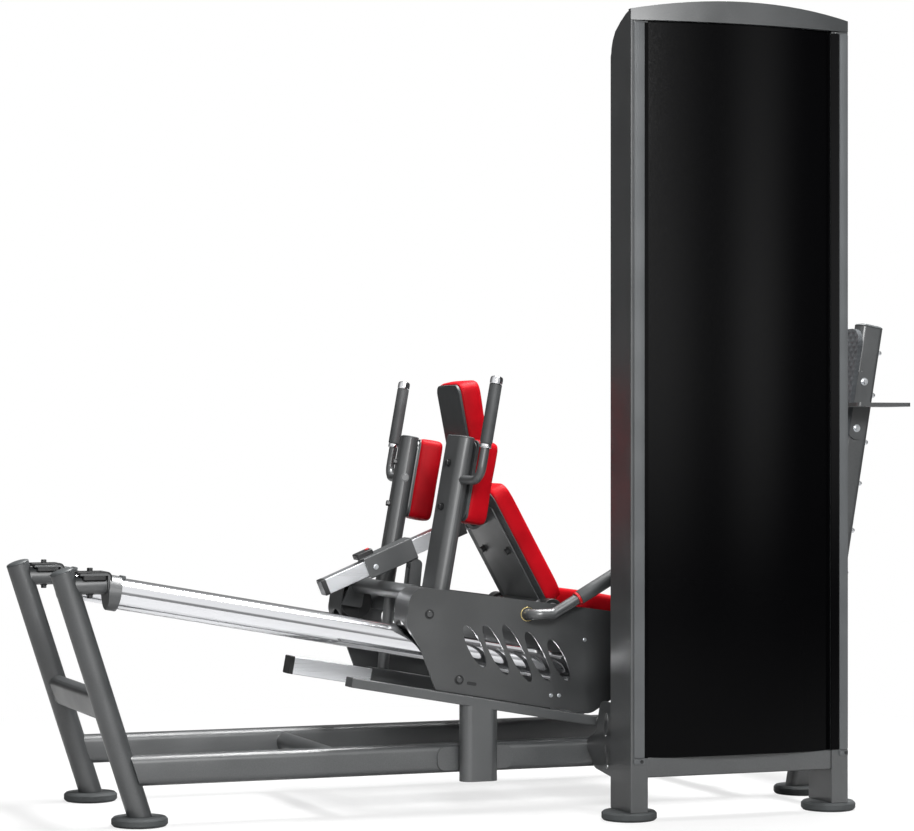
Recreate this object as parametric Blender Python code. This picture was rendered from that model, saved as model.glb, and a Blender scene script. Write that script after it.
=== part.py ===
"""Selectorised leg press: a seat carriage on two inclined rails, pushed away from a fixed foot plate.

The user sits facing +X, so right is -Y. Lengths are in metres, +Z is up, and the finished machine stands
on z = 0 with the origin under the middle of its box. The carriage is modelled in its own axes: X down
along the rails towards the foot plate, Z square to them.
"""

import math

import bmesh
import bpy
from mathutils import Matrix, Vector
from mathutils.geometry import tessellate_polygon

# Clearances and facets
GAP = 0.0003
RUN = 0.0005
ROUND = 24

# Rails and their slope
RAIL_SLOPE = math.radians(10.2)
RAIL_Y = 0.25
RAIL_R = 0.0365
RAIL_MID_Z = 0.383
RAIL_REAR_X = -0.924

# Rear stand
LEG_R = 0.0285
LEG_FOOT_X = -0.870
LEG_TOP_X = -1.056
LEG_TOP_Z = 0.601
STUB_R = 0.0225
STUB_Z = 0.571
STUB_END_X = -0.9535
CLAMP_T = 0.006
CLAMP_W = 0.060
COLLAR_R = 0.042
COLLAR_LEN = 0.018
CROSSBAR_Z = 0.285
CROSSBAR_W = 0.040
CROSSBAR_H = 0.072

# Feet
FOOT_R = 0.067
FOOT_T = 0.022

# Base rails
BASE_Y = 0.255
BASE_Z = 0.131
BASE_W = 0.050
BASE_H = 0.072
BASE_CORNER = 0.018
BASE_CROSS_X = -0.36
BASE_CROSS_R = 0.024
FRONT_CROSS_X = 0.70

# Foot plate and its leaning uprights
UPRIGHT_FOOT_X = 0.878
UPRIGHT_TOP_X = 1.0805
UPRIGHT_TOP_Z = 1.205
UPRIGHT_X = 0.066
UPRIGHT_Y = 0.050
PLATE_BOTTOM = 0.40
PLATE_TOP = 1.195
PLATE_HALF_W = 0.300
PLATE_T = 0.014
SHELF_Z = 1.003
SHELF_T = 0.010
SHELF_LEN = 0.157
SHELF_W = 0.130
BRACKET_LEN = 0.180
BRACKET_W = 0.050
BRACKET_BACK = 0.006
BRACKET_T = 0.005

# Guide beam beside the base on the right, parallel to the rails
BEAM_Y = BASE_Y + BASE_W / 2 + GAP + 0.025
BEAM_W = 0.050
BEAM_H = 0.0235
BEAM_TOP_T = -0.1065
BEAM_REAR_S = -0.3515
BEAM_FRONT_S = 0.296
BEAM_POST_S = -0.012
BEAM_POST_LEN = 0.096
BEAM_POST_W = 0.050
BEAM_POST_FOOT_Z = 0.077
LUG_T = 0.0045

# Weight tower
TOWER_LEFT_X = 0.235
TOWER_RIGHT_X = 0.819
POST_X = 0.045
TOWER_Y = -0.560
POST_Y = 0.120
TOWER_TOP_Z = 1.913
CAP_END_H = 0.025
CAP_RISE = 0.028
CAP_BACK_DROP = 0.062
CAP_LIP_Y = -0.606
ROOF_T = 0.004
COVER_BULGE = 0.028
COVER_T = 0.004
TOWER_BEAM_Z = 0.105
TOWER_BEAM_H = 0.048
INNER_COVER_Z = 0.300
PIN_SLOT_W = 0.050

# Weight stack
STACK_X = 0.527
STACK_LEN = 0.400
STACK_W = 0.085
WEIGHT_T = 0.025
WEIGHT_GROOVE = 0.0025
RESTING_WEIGHTS = 12
LIFTED_WEIGHTS = 6
STACK_BASE_Z = 0.182
ROD_R = 0.0125
ROD_HALF_SPREAD = 0.130
STEM_R = 0.012
PIN_R = 0.005
PIN_KNOB_R = 0.016

# Cable and pulleys
CABLE_R = 0.003
PULLEY_R = 0.045
PULLEY_W = 0.015
PULLEY_BORE = 0.008
CABLE_T = -0.058
CABLE_X = 0.757
TOP_PULLEY_Z = 1.800

# Carriage side plates
SIDE_Y = 0.303
SIDE_T = 0.006
SIDE_REAR_S = -0.234
SIDE_FRONT_S = 0.374
SIDE_TOP_T = (0.134, 0.158)
SIDE_BOTTOM_T = -0.104
FLANGE_IN = 0.092
FLANGE_T = 0.0045
RAIL_NOTCH_R = 0.049
SLOT_FIRST_S = -0.0455
SLOT_STEP = 0.0568
SLOT_T = 0.0157
SLOT_HALF = (0.058, 0.070, 0.081, 0.070, 0.058)
SLOT_HALF_W = 0.0175
SLOT_LEAN = math.radians(37.5)

# Carriage rollers
ROLLER_S = (-0.181, 0.236)
ROLLER_T = 0.0755
ROLLER_W = 0.034
AXLE_R = 0.008

# Carriage cross members
REAR_TUBE_S = -0.190
REAR_TUBE_T = 0.120
REAR_TUBE_HALF = SIDE_Y - FLANGE_IN - RUN
STRUT_R = 0.014
BASE_TUBE_S = -0.118
BASE_TUBE_T = 0.085
CROSS_TUBE_R = 0.020
STOP_TUBE_S = 0.048
PIVOT_S = 0.190
PIVOT_T = 0.138
PIVOT_R = 0.027
PIVOT_SHAFT_R = 0.011

# Shoulder posts, pads and handles
POST_S = -0.128
POST_SIDE_Y = 0.190
POST_OVAL_S = 0.045
POST_OVAL_Y = 0.090
POST_TOP_T = 0.520
POST_TOE = math.radians(12)
SHOULDER_PAD_LEN = 0.210
SHOULDER_PAD_W = 0.105
SHOULDER_PAD_T = 0.048
PAD_BOARD_T = 0.014
HANDLE_R = 0.011
HANDLE_S = -0.116
HANDLE_Y = 0.336
HANDLE_LOW_T = 0.416
HANDLE_TOP_T = 0.672
HANDLE_BEND = 0.036

# Seat
SEAT_S = 0.252
SEAT_LEN = 0.290
SEAT_W = 0.400
SEAT_T = 0.050
SEAT_TOP_T = 0.199
SEAT_PAN_T = 0.006

# Backrest
BACK_LEAN = math.radians(29)
BACK_PAD_LEN = 0.335
BACK_PAD_W = 0.320
BACK_PAD_T = 0.048
BACK_PAD_START = -0.002
BACK_FACE_OUT = 0.060
BACK_BOARD_T = 0.008
CHANNEL_DEPTH = 0.076
CHANNEL_HALF_W = 0.100
CHANNEL_T = 0.005
CHANNEL_TOP = 0.280
HEAD_PAD_LEN = 0.215
HEAD_PAD_W = 0.170
HEAD_PAD_T = 0.054
HEAD_LEAN = math.radians(11)
HEAD_FOOT = (0.046, 0.848)
HEAD_STEM_W = 0.030
HEAD_BOARD_T = 0.008

# Backrest adjuster: a square bar through a swivelling sleeve
SLEEVE_PIVOT = (-0.090, 0.5945)
ADJUST_PIN = (0.061, 0.7045)
ADJUST_RISE = 0.044
ADJUST_BAR = 0.040
ADJUST_TAIL = 0.245
SLEEVE_WALL = 0.0075
SLEEVE_BACK = 0.126
SLEEVE_FRONT = 0.010
SLEEVE_EAR_T = 0.006
SLEEVE_LUG_HALF = 0.012
ADJUST_PIN_R = 0.006
ADJUST_EYE_PLAY = 0.0035

# Start position bar under the carriage
START_BAR = 0.044
START_T = -0.107
START_TAIL_S = -0.412
START_NOSE_S = 0.400
HOUSING_WALL = 0.004
HOUSING_REAR_S = -0.198
HOUSING_FRONT_S = 0.300

# Release lever on the right side plate
LEVER_S = 0.078
LEVER_T = 0.1150
LEVER_R = 0.0135
LEVER_OUT = 0.040

WORKING = bpy.context.scene.collection


def clear_scene():
    for old in list(bpy.data.objects):
        bpy.data.objects.remove(old)


def finish_material(name, colour, roughness, metallic=0.0):
    made = bpy.data.materials.new(name)
    made.use_nodes = True
    shader = made.node_tree.nodes["Principled BSDF"]
    shader.inputs["Base Color"].default_value = (*colour, 1.0)
    shader.inputs["Roughness"].default_value = roughness
    shader.inputs["Metallic"].default_value = metallic
    return made


def empty(name, parent=None, at=(0, 0, 0), turn=(0, 0, 0)):
    made = bpy.data.objects.new(name, None)
    WORKING.objects.link(made)
    made.parent = parent
    made.location = at
    made.rotation_euler = turn
    return made


def solid(name, mesh_data, material, parent, at=(0, 0, 0), turn=(0, 0, 0)):
    """Makes a named object from a bmesh, with outward faces and smooth round sides."""
    mesh = bpy.data.meshes.new(name)
    bmesh.ops.remove_doubles(mesh_data, verts=mesh_data.verts, dist=1e-6)
    bmesh.ops.recalc_face_normals(mesh_data, faces=mesh_data.faces)
    mesh_data.to_mesh(mesh)
    mesh_data.free()
    made = bpy.data.objects.new(name, mesh)
    WORKING.objects.link(made)
    made.parent = parent
    made.location = at
    made.rotation_euler = turn
    if material:
        mesh.materials.append(material)
    mesh.shade_smooth()
    mesh.set_sharp_from_angle(angle=math.radians(35))
    return made


def helper(made):
    """Marks a shape that only cuts or joins another one."""
    made.hide_render = True
    made.display_type = "WIRE"
    return made


def combine(target, other, operation):
    step = target.modifiers.new(operation.lower(), "BOOLEAN")
    step.operation = operation
    step.object = helper(other)
    step.solver = "EXACT"
    return target


def join(target, *others):
    for other in others:
        combine(target, other, "UNION")
    return target


def cut(target, *others):
    for other in others:
        combine(target, other, "DIFFERENCE")
    return target


def circle(radius, count=ROUND):
    turns = [math.tau * i / count for i in range(count)]
    return [Vector((radius * math.cos(a), radius * math.sin(a))) for a in turns]


def ellipse(half_long, half_wide, lean, centre, count=20):
    """An ellipse whose long axis leans from vertical by the given angle, top to the rear."""
    points = []
    for i in range(count):
        a = math.tau * i / count
        along, across = half_long * math.cos(a), half_wide * math.sin(a)
        points.append(Vector((
            centre[0] - along * math.sin(lean) + across * math.cos(lean),
            centre[1] + along * math.cos(lean) + across * math.sin(lean),
        )))
    return points


def rounded(corners, radii, steps=5):
    """A polygon with each corner replaced by an arc of its own radius."""
    points = []
    for i, corner in enumerate(corners):
        corner = Vector(corner)
        before = (Vector(corners[i - 1]) - corner).normalized()
        after = (Vector(corners[(i + 1) % len(corners)]) - corner).normalized()
        radius = radii[i] if isinstance(radii, (list, tuple)) else radii
        if radius <= 0:
            points.append(corner)
            continue
        half = before.angle(after) / 2
        centre = corner + (before + after).normalized() * radius / math.sin(half)
        first = corner + before * radius / math.tan(half) - centre
        sweep = math.pi - 2 * half
        if before.x * after.y - before.y * after.x > 0:
            sweep = -sweep
        for k in range(steps + 1):
            points.append(centre + Matrix.Rotation(sweep * k / steps, 2) @ first)
    return points


def rectangle(width, height, radius=0.0, steps=4):
    w, h = width / 2, height / 2
    return rounded([(-w, -h), (w, -h), (w, h), (-w, h)], min(radius, 0.499 * min(width, height)), steps)


def prism_mesh(outline, low, high, place, holes=()):
    """Extrudes an outline with holes from low to high. place turns (a, b, depth) into a point."""
    made = bmesh.new()
    loops = [outline, *holes]
    rings = []
    for depth in (low, high):
        rings.append([[made.verts.new(place(p[0], p[1], depth)) for p in loop] for loop in loops])
    flat = [[Vector((p[0], p[1], 0)) for p in loop] for loop in loops]
    for ring in rings:
        verts = [v for loop in ring for v in loop]
        for triangle in tessellate_polygon(flat):
            made.faces.new([verts[i] for i in triangle])
    for first, second in zip(rings[0], rings[1]):
        for i in range(len(first)):
            k = (i + 1) % len(first)
            made.faces.new([first[i], first[k], second[k], second[i]])
    return made


def side_plane(a, b, depth):
    """Outline in X and Z, thickness along Y."""
    return (a, depth, b)


def floor_plane(a, b, depth):
    """Outline in X and Y, height along Z."""
    return (a, b, depth)


def end_plane(a, b, depth):
    """Outline in Y and Z, length along X."""
    return (depth, a, b)


def turned_mesh(profile, hollow=False, count=ROUND):
    """Turns a profile of (radius, height) about Z. A hollow profile is a closed loop off the axis."""
    made = bmesh.new()
    rings = []
    for radius, height in profile:
        if radius < 1e-9:
            rings.append([made.verts.new((0, 0, height))])
        else:
            rings.append([made.verts.new((p.x, p.y, height)) for p in circle(radius, count)])
    pairs = list(zip(rings, rings[1:]))
    if hollow:
        pairs.append((rings[-1], rings[0]))
    for low, high in pairs:
        for i in range(count):
            k = (i + 1) % count
            quad = [low[i % len(low)], low[k % len(low)], high[k % len(high)], high[i % len(high)]]
            corners = list(dict.fromkeys(quad))
            if len(corners) > 2:
                made.faces.new(corners)
    return made


def loft_mesh(rings):
    """Closes a tube through rings of equal count, with flat ends."""
    made = bmesh.new()
    verts = [[made.verts.new(p) for p in ring] for ring in rings]
    count = len(verts[0])
    for low, high in zip(verts, verts[1:]):
        for i in range(count):
            k = (i + 1) % count
            made.faces.new([low[i], low[k], high[k], high[i]])
    made.faces.new(verts[0])
    made.faces.new(verts[-1])
    return made


def leaning_mesh(section, low, high, level_top=False):
    """A straight tube of any section between two points, its foot cut level."""
    low, high = Vector(low), Vector(high)
    along = (high - low).normalized()
    across = Vector((0, 1, 0))
    third = across.cross(along)
    rings = []
    for point, level in ((low, True), (high, level_top)):
        ring = []
        for p in section:
            offset = third * p[0] + across * p[1]
            rise = -offset.z / along.z if level else 0.0
            ring.append(point + offset + along * rise)
        rings.append(ring)
    return loft_mesh(rings)


def swept_mesh(points, radius, count=12):
    """A round tube through a list of points, turned smoothly at each one."""
    points = [Vector(p) for p in points]
    rings = []
    side = None
    for i, point in enumerate(points):
        before = (point - points[i - 1]).normalized() if i else None
        after = (points[i + 1] - point).normalized() if i + 1 < len(points) else None
        along = ((before or after) + (after or before)).normalized()
        if side is None:
            side = along.orthogonal().normalized()
        side = (side - along * side.dot(along)).normalized()
        third = along.cross(side)
        stretch = 1 / max(0.5, along.dot(before or after))
        rings.append([point + (side * p.x + third * p.y) * stretch for p in circle(radius, count)])
    return loft_mesh(rings)


def bent_path(corners, radius, steps=6):
    """Straight runs through corners, with an arc of the given radius at each inner corner."""
    corners = [Vector(c) for c in corners]
    points = [corners[0]]
    for before, corner, after in zip(corners, corners[1:], corners[2:]):
        first, last = (before - corner).normalized(), (after - corner).normalized()
        half = first.angle(last) / 2
        reach = radius / math.tan(half)
        centre = corner + (first + last).normalized() * radius / math.sin(half)
        start, end = corner + first * reach - centre, corner + last * reach - centre
        turn = start.rotation_difference(end)
        for k in range(steps + 1):
            part = turn.copy()
            part.angle = turn.angle * k / steps
            points.append(centre + part @ start)
    points.append(corners[-1])
    return points


def rod(name, low, high, radius, material, parent, count=ROUND):
    """A plain round bar between two points."""
    low, high = Vector(low), Vector(high)
    mesh = turned_mesh([(0, 0), (radius, 0), (radius, (high - low).length), (0, (high - low).length)], count=count)
    turn = Vector((0, 0, 1)).rotation_difference((high - low).normalized()).to_euler()
    return solid(name, mesh, material, parent, low, turn)


def cushion_mesh(length, width, thickness, corner, crown, steps=3):
    """A pad lying on Z = 0: sides drawn in at the foot and mid height, edge rolled over, face crowned."""
    layers = (
        (0.000, 0.006),
        (0.120, 0.001),
        (0.300, 0.002),
        (0.480, 0.0025),
        (0.680, 0.000),
        (0.860, 0.004),
        (0.965, 0.012),
        (1.000, 0.024),
    )
    rings = []
    for height, inset in layers:
        size = (length - 2 * inset, width - 2 * inset)
        ring = rectangle(*size, max(corner - inset, 0.004), steps)
        rings.append([Vector((p.x, p.y, height * (thickness - crown))) for p in ring])
    made = loft_mesh(rings)
    top = max(made.faces, key=lambda f: f.calc_center_median().z)
    bmesh.ops.inset_individual(made, faces=[top], thickness=0.3 * width / 2, depth=0.0)
    bmesh.ops.translate(made, verts=top.verts, vec=(0, 0, crown))
    return made


def carriage_point(s, y, t):
    """A point in the carriage's axes, as a point of the machine."""
    c, n = math.cos(RAIL_SLOPE), math.sin(RAIL_SLOPE)
    return Vector((s * c + t * n, y, RAIL_MID_Z - s * n + t * c))


def carriage_axes(x, z):
    """A machine point in the X-Z plane, in the carriage's axes."""
    c, n = math.cos(RAIL_SLOPE), math.sin(RAIL_SLOPE)
    return (x * c - (z - RAIL_MID_Z) * n, x * n + (z - RAIL_MID_Z) * c)


def rail_axis_z(x):
    return RAIL_MID_Z - x * math.tan(RAIL_SLOPE)


def sides():
    """The two sides of the machine, as a name and the sign of Y."""
    return (("right", -1), ("left", 1))


# Rear stand, feet and base

def leg_ends(sign):
    low = (LEG_FOOT_X, sign * RAIL_Y, FOOT_T + GAP)
    return low, (LEG_TOP_X, sign * RAIL_Y, LEG_TOP_Z)


def build_rear_stand(paint):
    cutters = {}
    for side, sign in sides():
        low, high = leg_ends(sign)
        leg = solid(f"rear_leg_{side}", leaning_mesh(circle(LEG_R), low, high), paint, machine)
        reach = (LEG_TOP_Z - STUB_Z) / (LEG_TOP_Z - FOOT_T)
        stub_x = LEG_TOP_X + (LEG_FOOT_X - LEG_TOP_X) * reach
        stub = rod(
            f"stub_{side}", (stub_x, sign * RAIL_Y, STUB_Z), (STUB_END_X, sign * RAIL_Y, STUB_Z),
            STUB_R, None, machine,
        )
        join(leg, stub)
        cutters[side] = solid(
            f"leg_cope_{side}", leaning_mesh(circle(LEG_R + GAP), low, high), None, machine,
        )
        build_rail_clamp(side, sign, paint)
    lean = math.atan2(LEG_FOOT_X - LEG_TOP_X, LEG_TOP_Z - FOOT_T)
    share = (CROSSBAR_Z - FOOT_T) / (LEG_TOP_Z - FOOT_T)
    centre_x = LEG_FOOT_X + (LEG_TOP_X - LEG_FOOT_X) * share
    section = rectangle(CROSSBAR_W, CROSSBAR_H, 0.016)
    bar = solid(
        "rear_crossbar", prism_mesh(section, -RAIL_Y, RAIL_Y, side_plane), paint, machine,
        (centre_x, 0, CROSSBAR_Z), (0, -lean, 0),
    )
    cut(bar, *cutters.values())
    return cutters


def build_rail_clamp(side, sign, paint):
    """A strap over the stub, bent down into a round-ended plate with the rail's end collar."""
    strap_z = STUB_Z + STUB_R + GAP
    face_x = STUB_END_X + GAP
    drop_z = rail_axis_z(RAIL_REAR_X) - 0.015
    back_x = face_x - 0.066
    bend = 0.010
    outline = rounded(
        [
            (back_x, strap_z), (face_x, strap_z), (face_x, drop_z), (face_x + CLAMP_T, drop_z),
            (face_x + CLAMP_T, strap_z + CLAMP_T), (back_x, strap_z + CLAMP_T),
        ],
        [0, 0, 0, 0, bend, 0],
    )
    half = CLAMP_W / 2
    clamp = solid(
        f"rail_clamp_{side}", prism_mesh(outline, sign * RAIL_Y - half, sign * RAIL_Y + half, side_plane),
        paint, machine,
    )
    start = carriage_point(rail_rear_s() - COLLAR_LEN - 0.012, sign * RAIL_Y, 0)
    end = carriage_point(rail_rear_s(), sign * RAIL_Y, 0)
    collar = rod(f"collar_{side}", start, end, COLLAR_R, None, machine)
    trim = solid(
        f"collar_trim_{side}",
        prism_mesh(rectangle(0.1, 0.2), sign * RAIL_Y - 0.1, sign * RAIL_Y + 0.1, side_plane),
        None, machine, (face_x - 0.05, 0, rail_axis_z(RAIL_REAR_X) - 0.02),
    )
    cut(collar, trim)
    join(clamp, collar)


def rail_rear_s():
    return carriage_axes(RAIL_REAR_X, rail_axis_z(RAIL_REAR_X))[0]


def build_foot(name, x, y, rubber):
    edge = 0.005
    profile = [
        (0, 0), (FOOT_R - edge, 0), (FOOT_R, edge), (FOOT_R, FOOT_T - edge), (FOOT_R - edge, FOOT_T), (0, FOOT_T),
    ]
    solid(name, turned_mesh(profile), rubber, machine, (x, y, 0))


def build_feet(rubber):
    for side, sign in sides():
        build_foot(f"foot_rear_{side}", LEG_FOOT_X, sign * RAIL_Y, rubber)
        build_foot(f"foot_front_{side}", UPRIGHT_FOOT_X, sign * BASE_Y, rubber)
    for name, x in (("rear", TOWER_LEFT_X + POST_X / 2), ("front", TOWER_RIGHT_X - POST_X / 2)):
        build_foot(f"foot_tower_{name}", x, TOWER_Y, rubber)


def build_base(paint, leg_copes, upright_copes):
    section = rectangle(BASE_W, BASE_H, BASE_CORNER)
    span = (LEG_FOOT_X - 0.045, UPRIGHT_FOOT_X + 0.02)
    rails = {}
    for side, sign in sides():
        at = (0, sign * BASE_Y, BASE_Z)
        rail = solid(f"base_rail_{side}", prism_mesh(section, *span, end_plane), paint, machine, at)
        cut(rail, leg_copes[side], upright_copes[side])
        rails[side] = rail
    near = -BASE_Y + BASE_W / 2 + GAP
    rear = rod(
        "base_cross_rear", (BASE_CROSS_X, near, BASE_Z), (BASE_CROSS_X, BASE_Y, BASE_Z), BASE_CROSS_R, None, machine,
    )
    front = solid(
        "base_cross_front", prism_mesh(rectangle(0.06, 0.05, 0.01), near, BASE_Y, side_plane), None, machine,
        (FRONT_CROSS_X, 0, BASE_Z - 0.008),
    )
    pulley_foot = carriage_point(turn_pulley_s(), -PULLEY_R, CABLE_T - 0.08)
    pulley_head = carriage_point(turn_pulley_s(), -PULLEY_R, CABLE_T + 0.018)
    pin = rod("turn_pin", pulley_foot, pulley_head, PULLEY_BORE - RUN, None, machine, 16)
    join(rails["left"], rear, front, pin)
    arm_start = -BASE_Y
    arm_end = TOWER_Y + POST_Y / 2 + GAP
    arm = solid(
        "tower_arm", prism_mesh(rectangle(0.044, 0.050, 0.008), arm_end, arm_start, side_plane), None, machine,
        (TOWER_RIGHT_X - POST_X / 2, 0, BASE_Z),
    )
    join(rails["right"], arm)


def build_rails(chrome, upright_copes):
    for side, sign in sides():
        start = carriage_point(rail_rear_s() + GAP, sign * RAIL_Y, 0)
        end_s = carriage_axes(UPRIGHT_FOOT_X + 0.05, rail_axis_z(UPRIGHT_FOOT_X + 0.05))[0]
        rail = rod(f"rail_{side}", start, carriage_point(end_s, sign * RAIL_Y, 0), RAIL_R, chrome, machine, 32)
        cut(rail, upright_copes[side])


# Foot plate on two leaning uprights

def upright_lean():
    return math.atan2(UPRIGHT_TOP_X - UPRIGHT_FOOT_X, UPRIGHT_TOP_Z - FOOT_T)


def upright_x(z):
    return UPRIGHT_FOOT_X + (z - FOOT_T) * math.tan(upright_lean())


def build_uprights(paint):
    copes = {}
    for side, sign in sides():
        low = (UPRIGHT_FOOT_X, sign * BASE_Y, FOOT_T + GAP)
        high = (UPRIGHT_TOP_X, sign * BASE_Y, UPRIGHT_TOP_Z)
        section = rectangle(UPRIGHT_X, UPRIGHT_Y, 0.014)
        solid(f"foot_upright_{side}", leaning_mesh(section, low, high), paint, machine)
        wide = rectangle(UPRIGHT_X + 2 * GAP, UPRIGHT_Y + 2 * GAP, 0.014 + GAP)
        copes[side] = solid(f"upright_cope_{side}", leaning_mesh(wide, low, high), None, machine)
    return copes


def build_foot_plate(rubber):
    """A stiff plate with rounded corners and pressed grip ribs across its face."""
    lean = upright_lean()
    length = (PLATE_TOP - PLATE_BOTTOM) / math.cos(lean)
    middle = (PLATE_TOP + PLATE_BOTTOM) / 2
    back = -UPRIGHT_X / 2 - GAP
    outline = rectangle(2 * PLATE_HALF_W, length, 0.045, 6)
    plate = solid(
        "foot_plate", prism_mesh(outline, back - PLATE_T, back, end_plane), rubber, machine,
        (upright_x(middle), 0, middle), (0, lean, 0),
    )
    rib_count, rib_step, rib_depth = 9, 0.076, 0.003
    for i in range(rib_count):
        z = (i - (rib_count - 1) / 2) * rib_step
        groove = solid(
            f"grip_groove_{i}",
            prism_mesh(rectangle(2 * rib_depth, 0.006), -PLATE_HALF_W + 0.05, PLATE_HALF_W - 0.05, side_plane),
            None, plate, (back - PLATE_T, 0, z),
        )
        cut(plate, groove)


def build_shelf(paint):
    """A small tray on a round-ended bracket, bolted to the outside of the right upright."""
    lean = upright_lean()
    face_y = -BASE_Y - UPRIGHT_Y / 2 - GAP
    bracket = solid(
        "accessory_shelf",
        prism_mesh(rectangle(BRACKET_W, BRACKET_LEN, 0.0245, 6), face_y - BRACKET_T, face_y, side_plane),
        paint, machine, (upright_x(SHELF_Z) - BRACKET_BACK, 0, SHELF_Z), (0, lean, 0),
    )
    tray_y = face_y - BRACKET_T
    tray = solid(
        "tray", prism_mesh(
            rectangle(SHELF_LEN, SHELF_W + BRACKET_T / 2, 0.012), SHELF_Z - SHELF_T / 2, SHELF_Z + SHELF_T / 2, floor_plane,
        ),
        None, machine, (upright_x(SHELF_Z) - 0.0075, tray_y - SHELF_W / 2 + BRACKET_T / 4, 0),
    )
    clear_x = upright_x(SHELF_Z) - UPRIGHT_X / 2 + 0.004
    plate_notch = solid(
        "plate_notch", prism_mesh(rectangle(0.2, 0.2), SHELF_Z - 0.05, SHELF_Z + 0.05, floor_plane), None, machine,
        (clear_x - 0.1, -PLATE_HALF_W - RUN + 0.1, 0),
    )
    cut(tray, plate_notch)
    join(bracket, tray)


# Guide beam on an oval post

def build_guide_beam(paint):
    middle_t = BEAM_TOP_T - BEAM_H / 2
    beam = solid(
        "guide_beam", prism_mesh(rectangle(BEAM_W, BEAM_H, 0.003), BEAM_REAR_S, BEAM_FRONT_S, end_plane),
        paint, carriage_home, (0, -BEAM_Y, middle_t),
    )
    head = carriage_point(BEAM_POST_S, -BEAM_Y, middle_t)
    oval = rectangle(BEAM_POST_LEN, BEAM_POST_W, BEAM_POST_W / 2, 6)
    post = solid(
        "beam_post", prism_mesh(oval, BEAM_POST_FOOT_Z, head.z, floor_plane), None, machine, (head.x, -BEAM_Y, 0),
    )
    inner = -BASE_Y - BASE_W / 2 - GAP
    lug = solid(
        "beam_lug", prism_mesh(rectangle(2.05 * BEAM_POST_LEN, 0.058, 0.020), inner - LUG_T, inner, side_plane),
        None, machine, (head.x, 0, BASE_Z),
    )
    join(beam, post, lug)


# Weight tower

def tower_middle_x():
    return (TOWER_LEFT_X + TOWER_RIGHT_X) / 2


def tower_front_y():
    return TOWER_Y - POST_Y / 2


def roof_line():
    """Side view of the tower's top behind the cap's lip, from the lip down to the inner cover."""
    return [
        Vector((CAP_LIP_Y, 1.9365)), Vector((-0.5917, 1.9326)), Vector((-0.5567, 1.9160)),
        Vector((-0.5272, 1.8975)), Vector((-0.5130, 1.8790)), Vector((-0.5062, 1.8620)),
        Vector((-0.5043, 1.8500)),
    ]


def post_outline():
    """Side view of a tower post: notched for the cap's lip, its inner top corner swept down."""
    front, back = -POST_Y / 2, POST_Y / 2
    points = [Vector((front, FOOT_T + GAP)), Vector((back, FOOT_T + GAP)), Vector((back, 1.8400))]
    points += [Vector((p.x - TOWER_Y, p.y)) for p in reversed(roof_line())]
    return points + [Vector((CAP_LIP_Y - TOWER_Y, TOWER_TOP_Z)), Vector((front, TOWER_TOP_Z))]


def build_tower_posts(paint):
    for name, x in (("rear", TOWER_LEFT_X), ("front", TOWER_RIGHT_X - POST_X)):
        post = solid(
            f"tower_post_{name}", prism_mesh(post_outline(), 0, POST_X, end_plane), paint, machine, (x, TOWER_Y, 0),
        )
        trim_line = solid(
            f"trim_line_{name}",
            prism_mesh(rectangle(0.003, 0.004), 0.16, TOWER_TOP_Z + 0.01, floor_plane),
            None, machine, (x + 0.010, tower_front_y(), 0),
        )
        cut(post, trim_line)


def cover_arc(half_width, bulge, count=12):
    """Points across the cover's plan, bowed outwards."""
    radius = (half_width ** 2 + bulge ** 2) / (2 * bulge)
    reach = math.asin(half_width / radius)
    turns = [reach * (2 * i / count - 1) for i in range(count + 1)]
    return [Vector((radius * math.sin(a), radius - bulge - radius * math.cos(a))) for a in turns]


def build_tower_shell(paint, gloss):
    half_open = (TOWER_RIGHT_X - TOWER_LEFT_X) / 2 - POST_X - GAP
    x = tower_middle_x()
    outer = cover_arc(half_open, COVER_BULGE)
    inner = [p + Vector((0, COVER_T)) for p in reversed(outer)]
    cover_low = TOWER_BEAM_Z + TOWER_BEAM_H + GAP
    solid(
        "tower_cover_outer",
        prism_mesh([*outer, *inner], cover_low, TOWER_TOP_Z - GAP, floor_plane),
        gloss, machine, (x, tower_front_y() + 0.008, 0),
    )
    back_y = TOWER_Y + POST_Y / 2
    solid(
        "tower_cover_inner",
        prism_mesh(
            rounded([(-half_open, INNER_COVER_Z), (half_open, INNER_COVER_Z),
                     (half_open, TOWER_TOP_Z - CAP_BACK_DROP), (-half_open, TOWER_TOP_Z - CAP_BACK_DROP)], 0.004),
            back_y - COVER_T, back_y, side_plane,
            holes=[rounded([(-PIN_SLOT_W / 2, 0.32), (PIN_SLOT_W / 2, 0.32),
                            (PIN_SLOT_W / 2, 1.42), (-PIN_SLOT_W / 2, 1.42)], 0.02)],
        ),
        gloss, machine, (x, 0, 0),
    )
    beam = solid(
        "tower_base_beam",
        prism_mesh(rectangle(0.060, TOWER_BEAM_H, 0.004), -half_open, half_open, end_plane), paint, machine,
        (x, tower_front_y() + 0.034, TOWER_BEAM_Z + TOWER_BEAM_H / 2),
    )
    shelf_deck = solid(
        "stack_deck", prism_mesh(rectangle(STACK_LEN - 0.02, STACK_W - 0.01, 0.003), 0.125, STACK_BASE_Z - GAP, floor_plane),
        None, machine, (STACK_X, TOWER_Y, 0),
    )
    join(beam, shelf_deck)
    build_tower_cap(paint, x)


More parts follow.
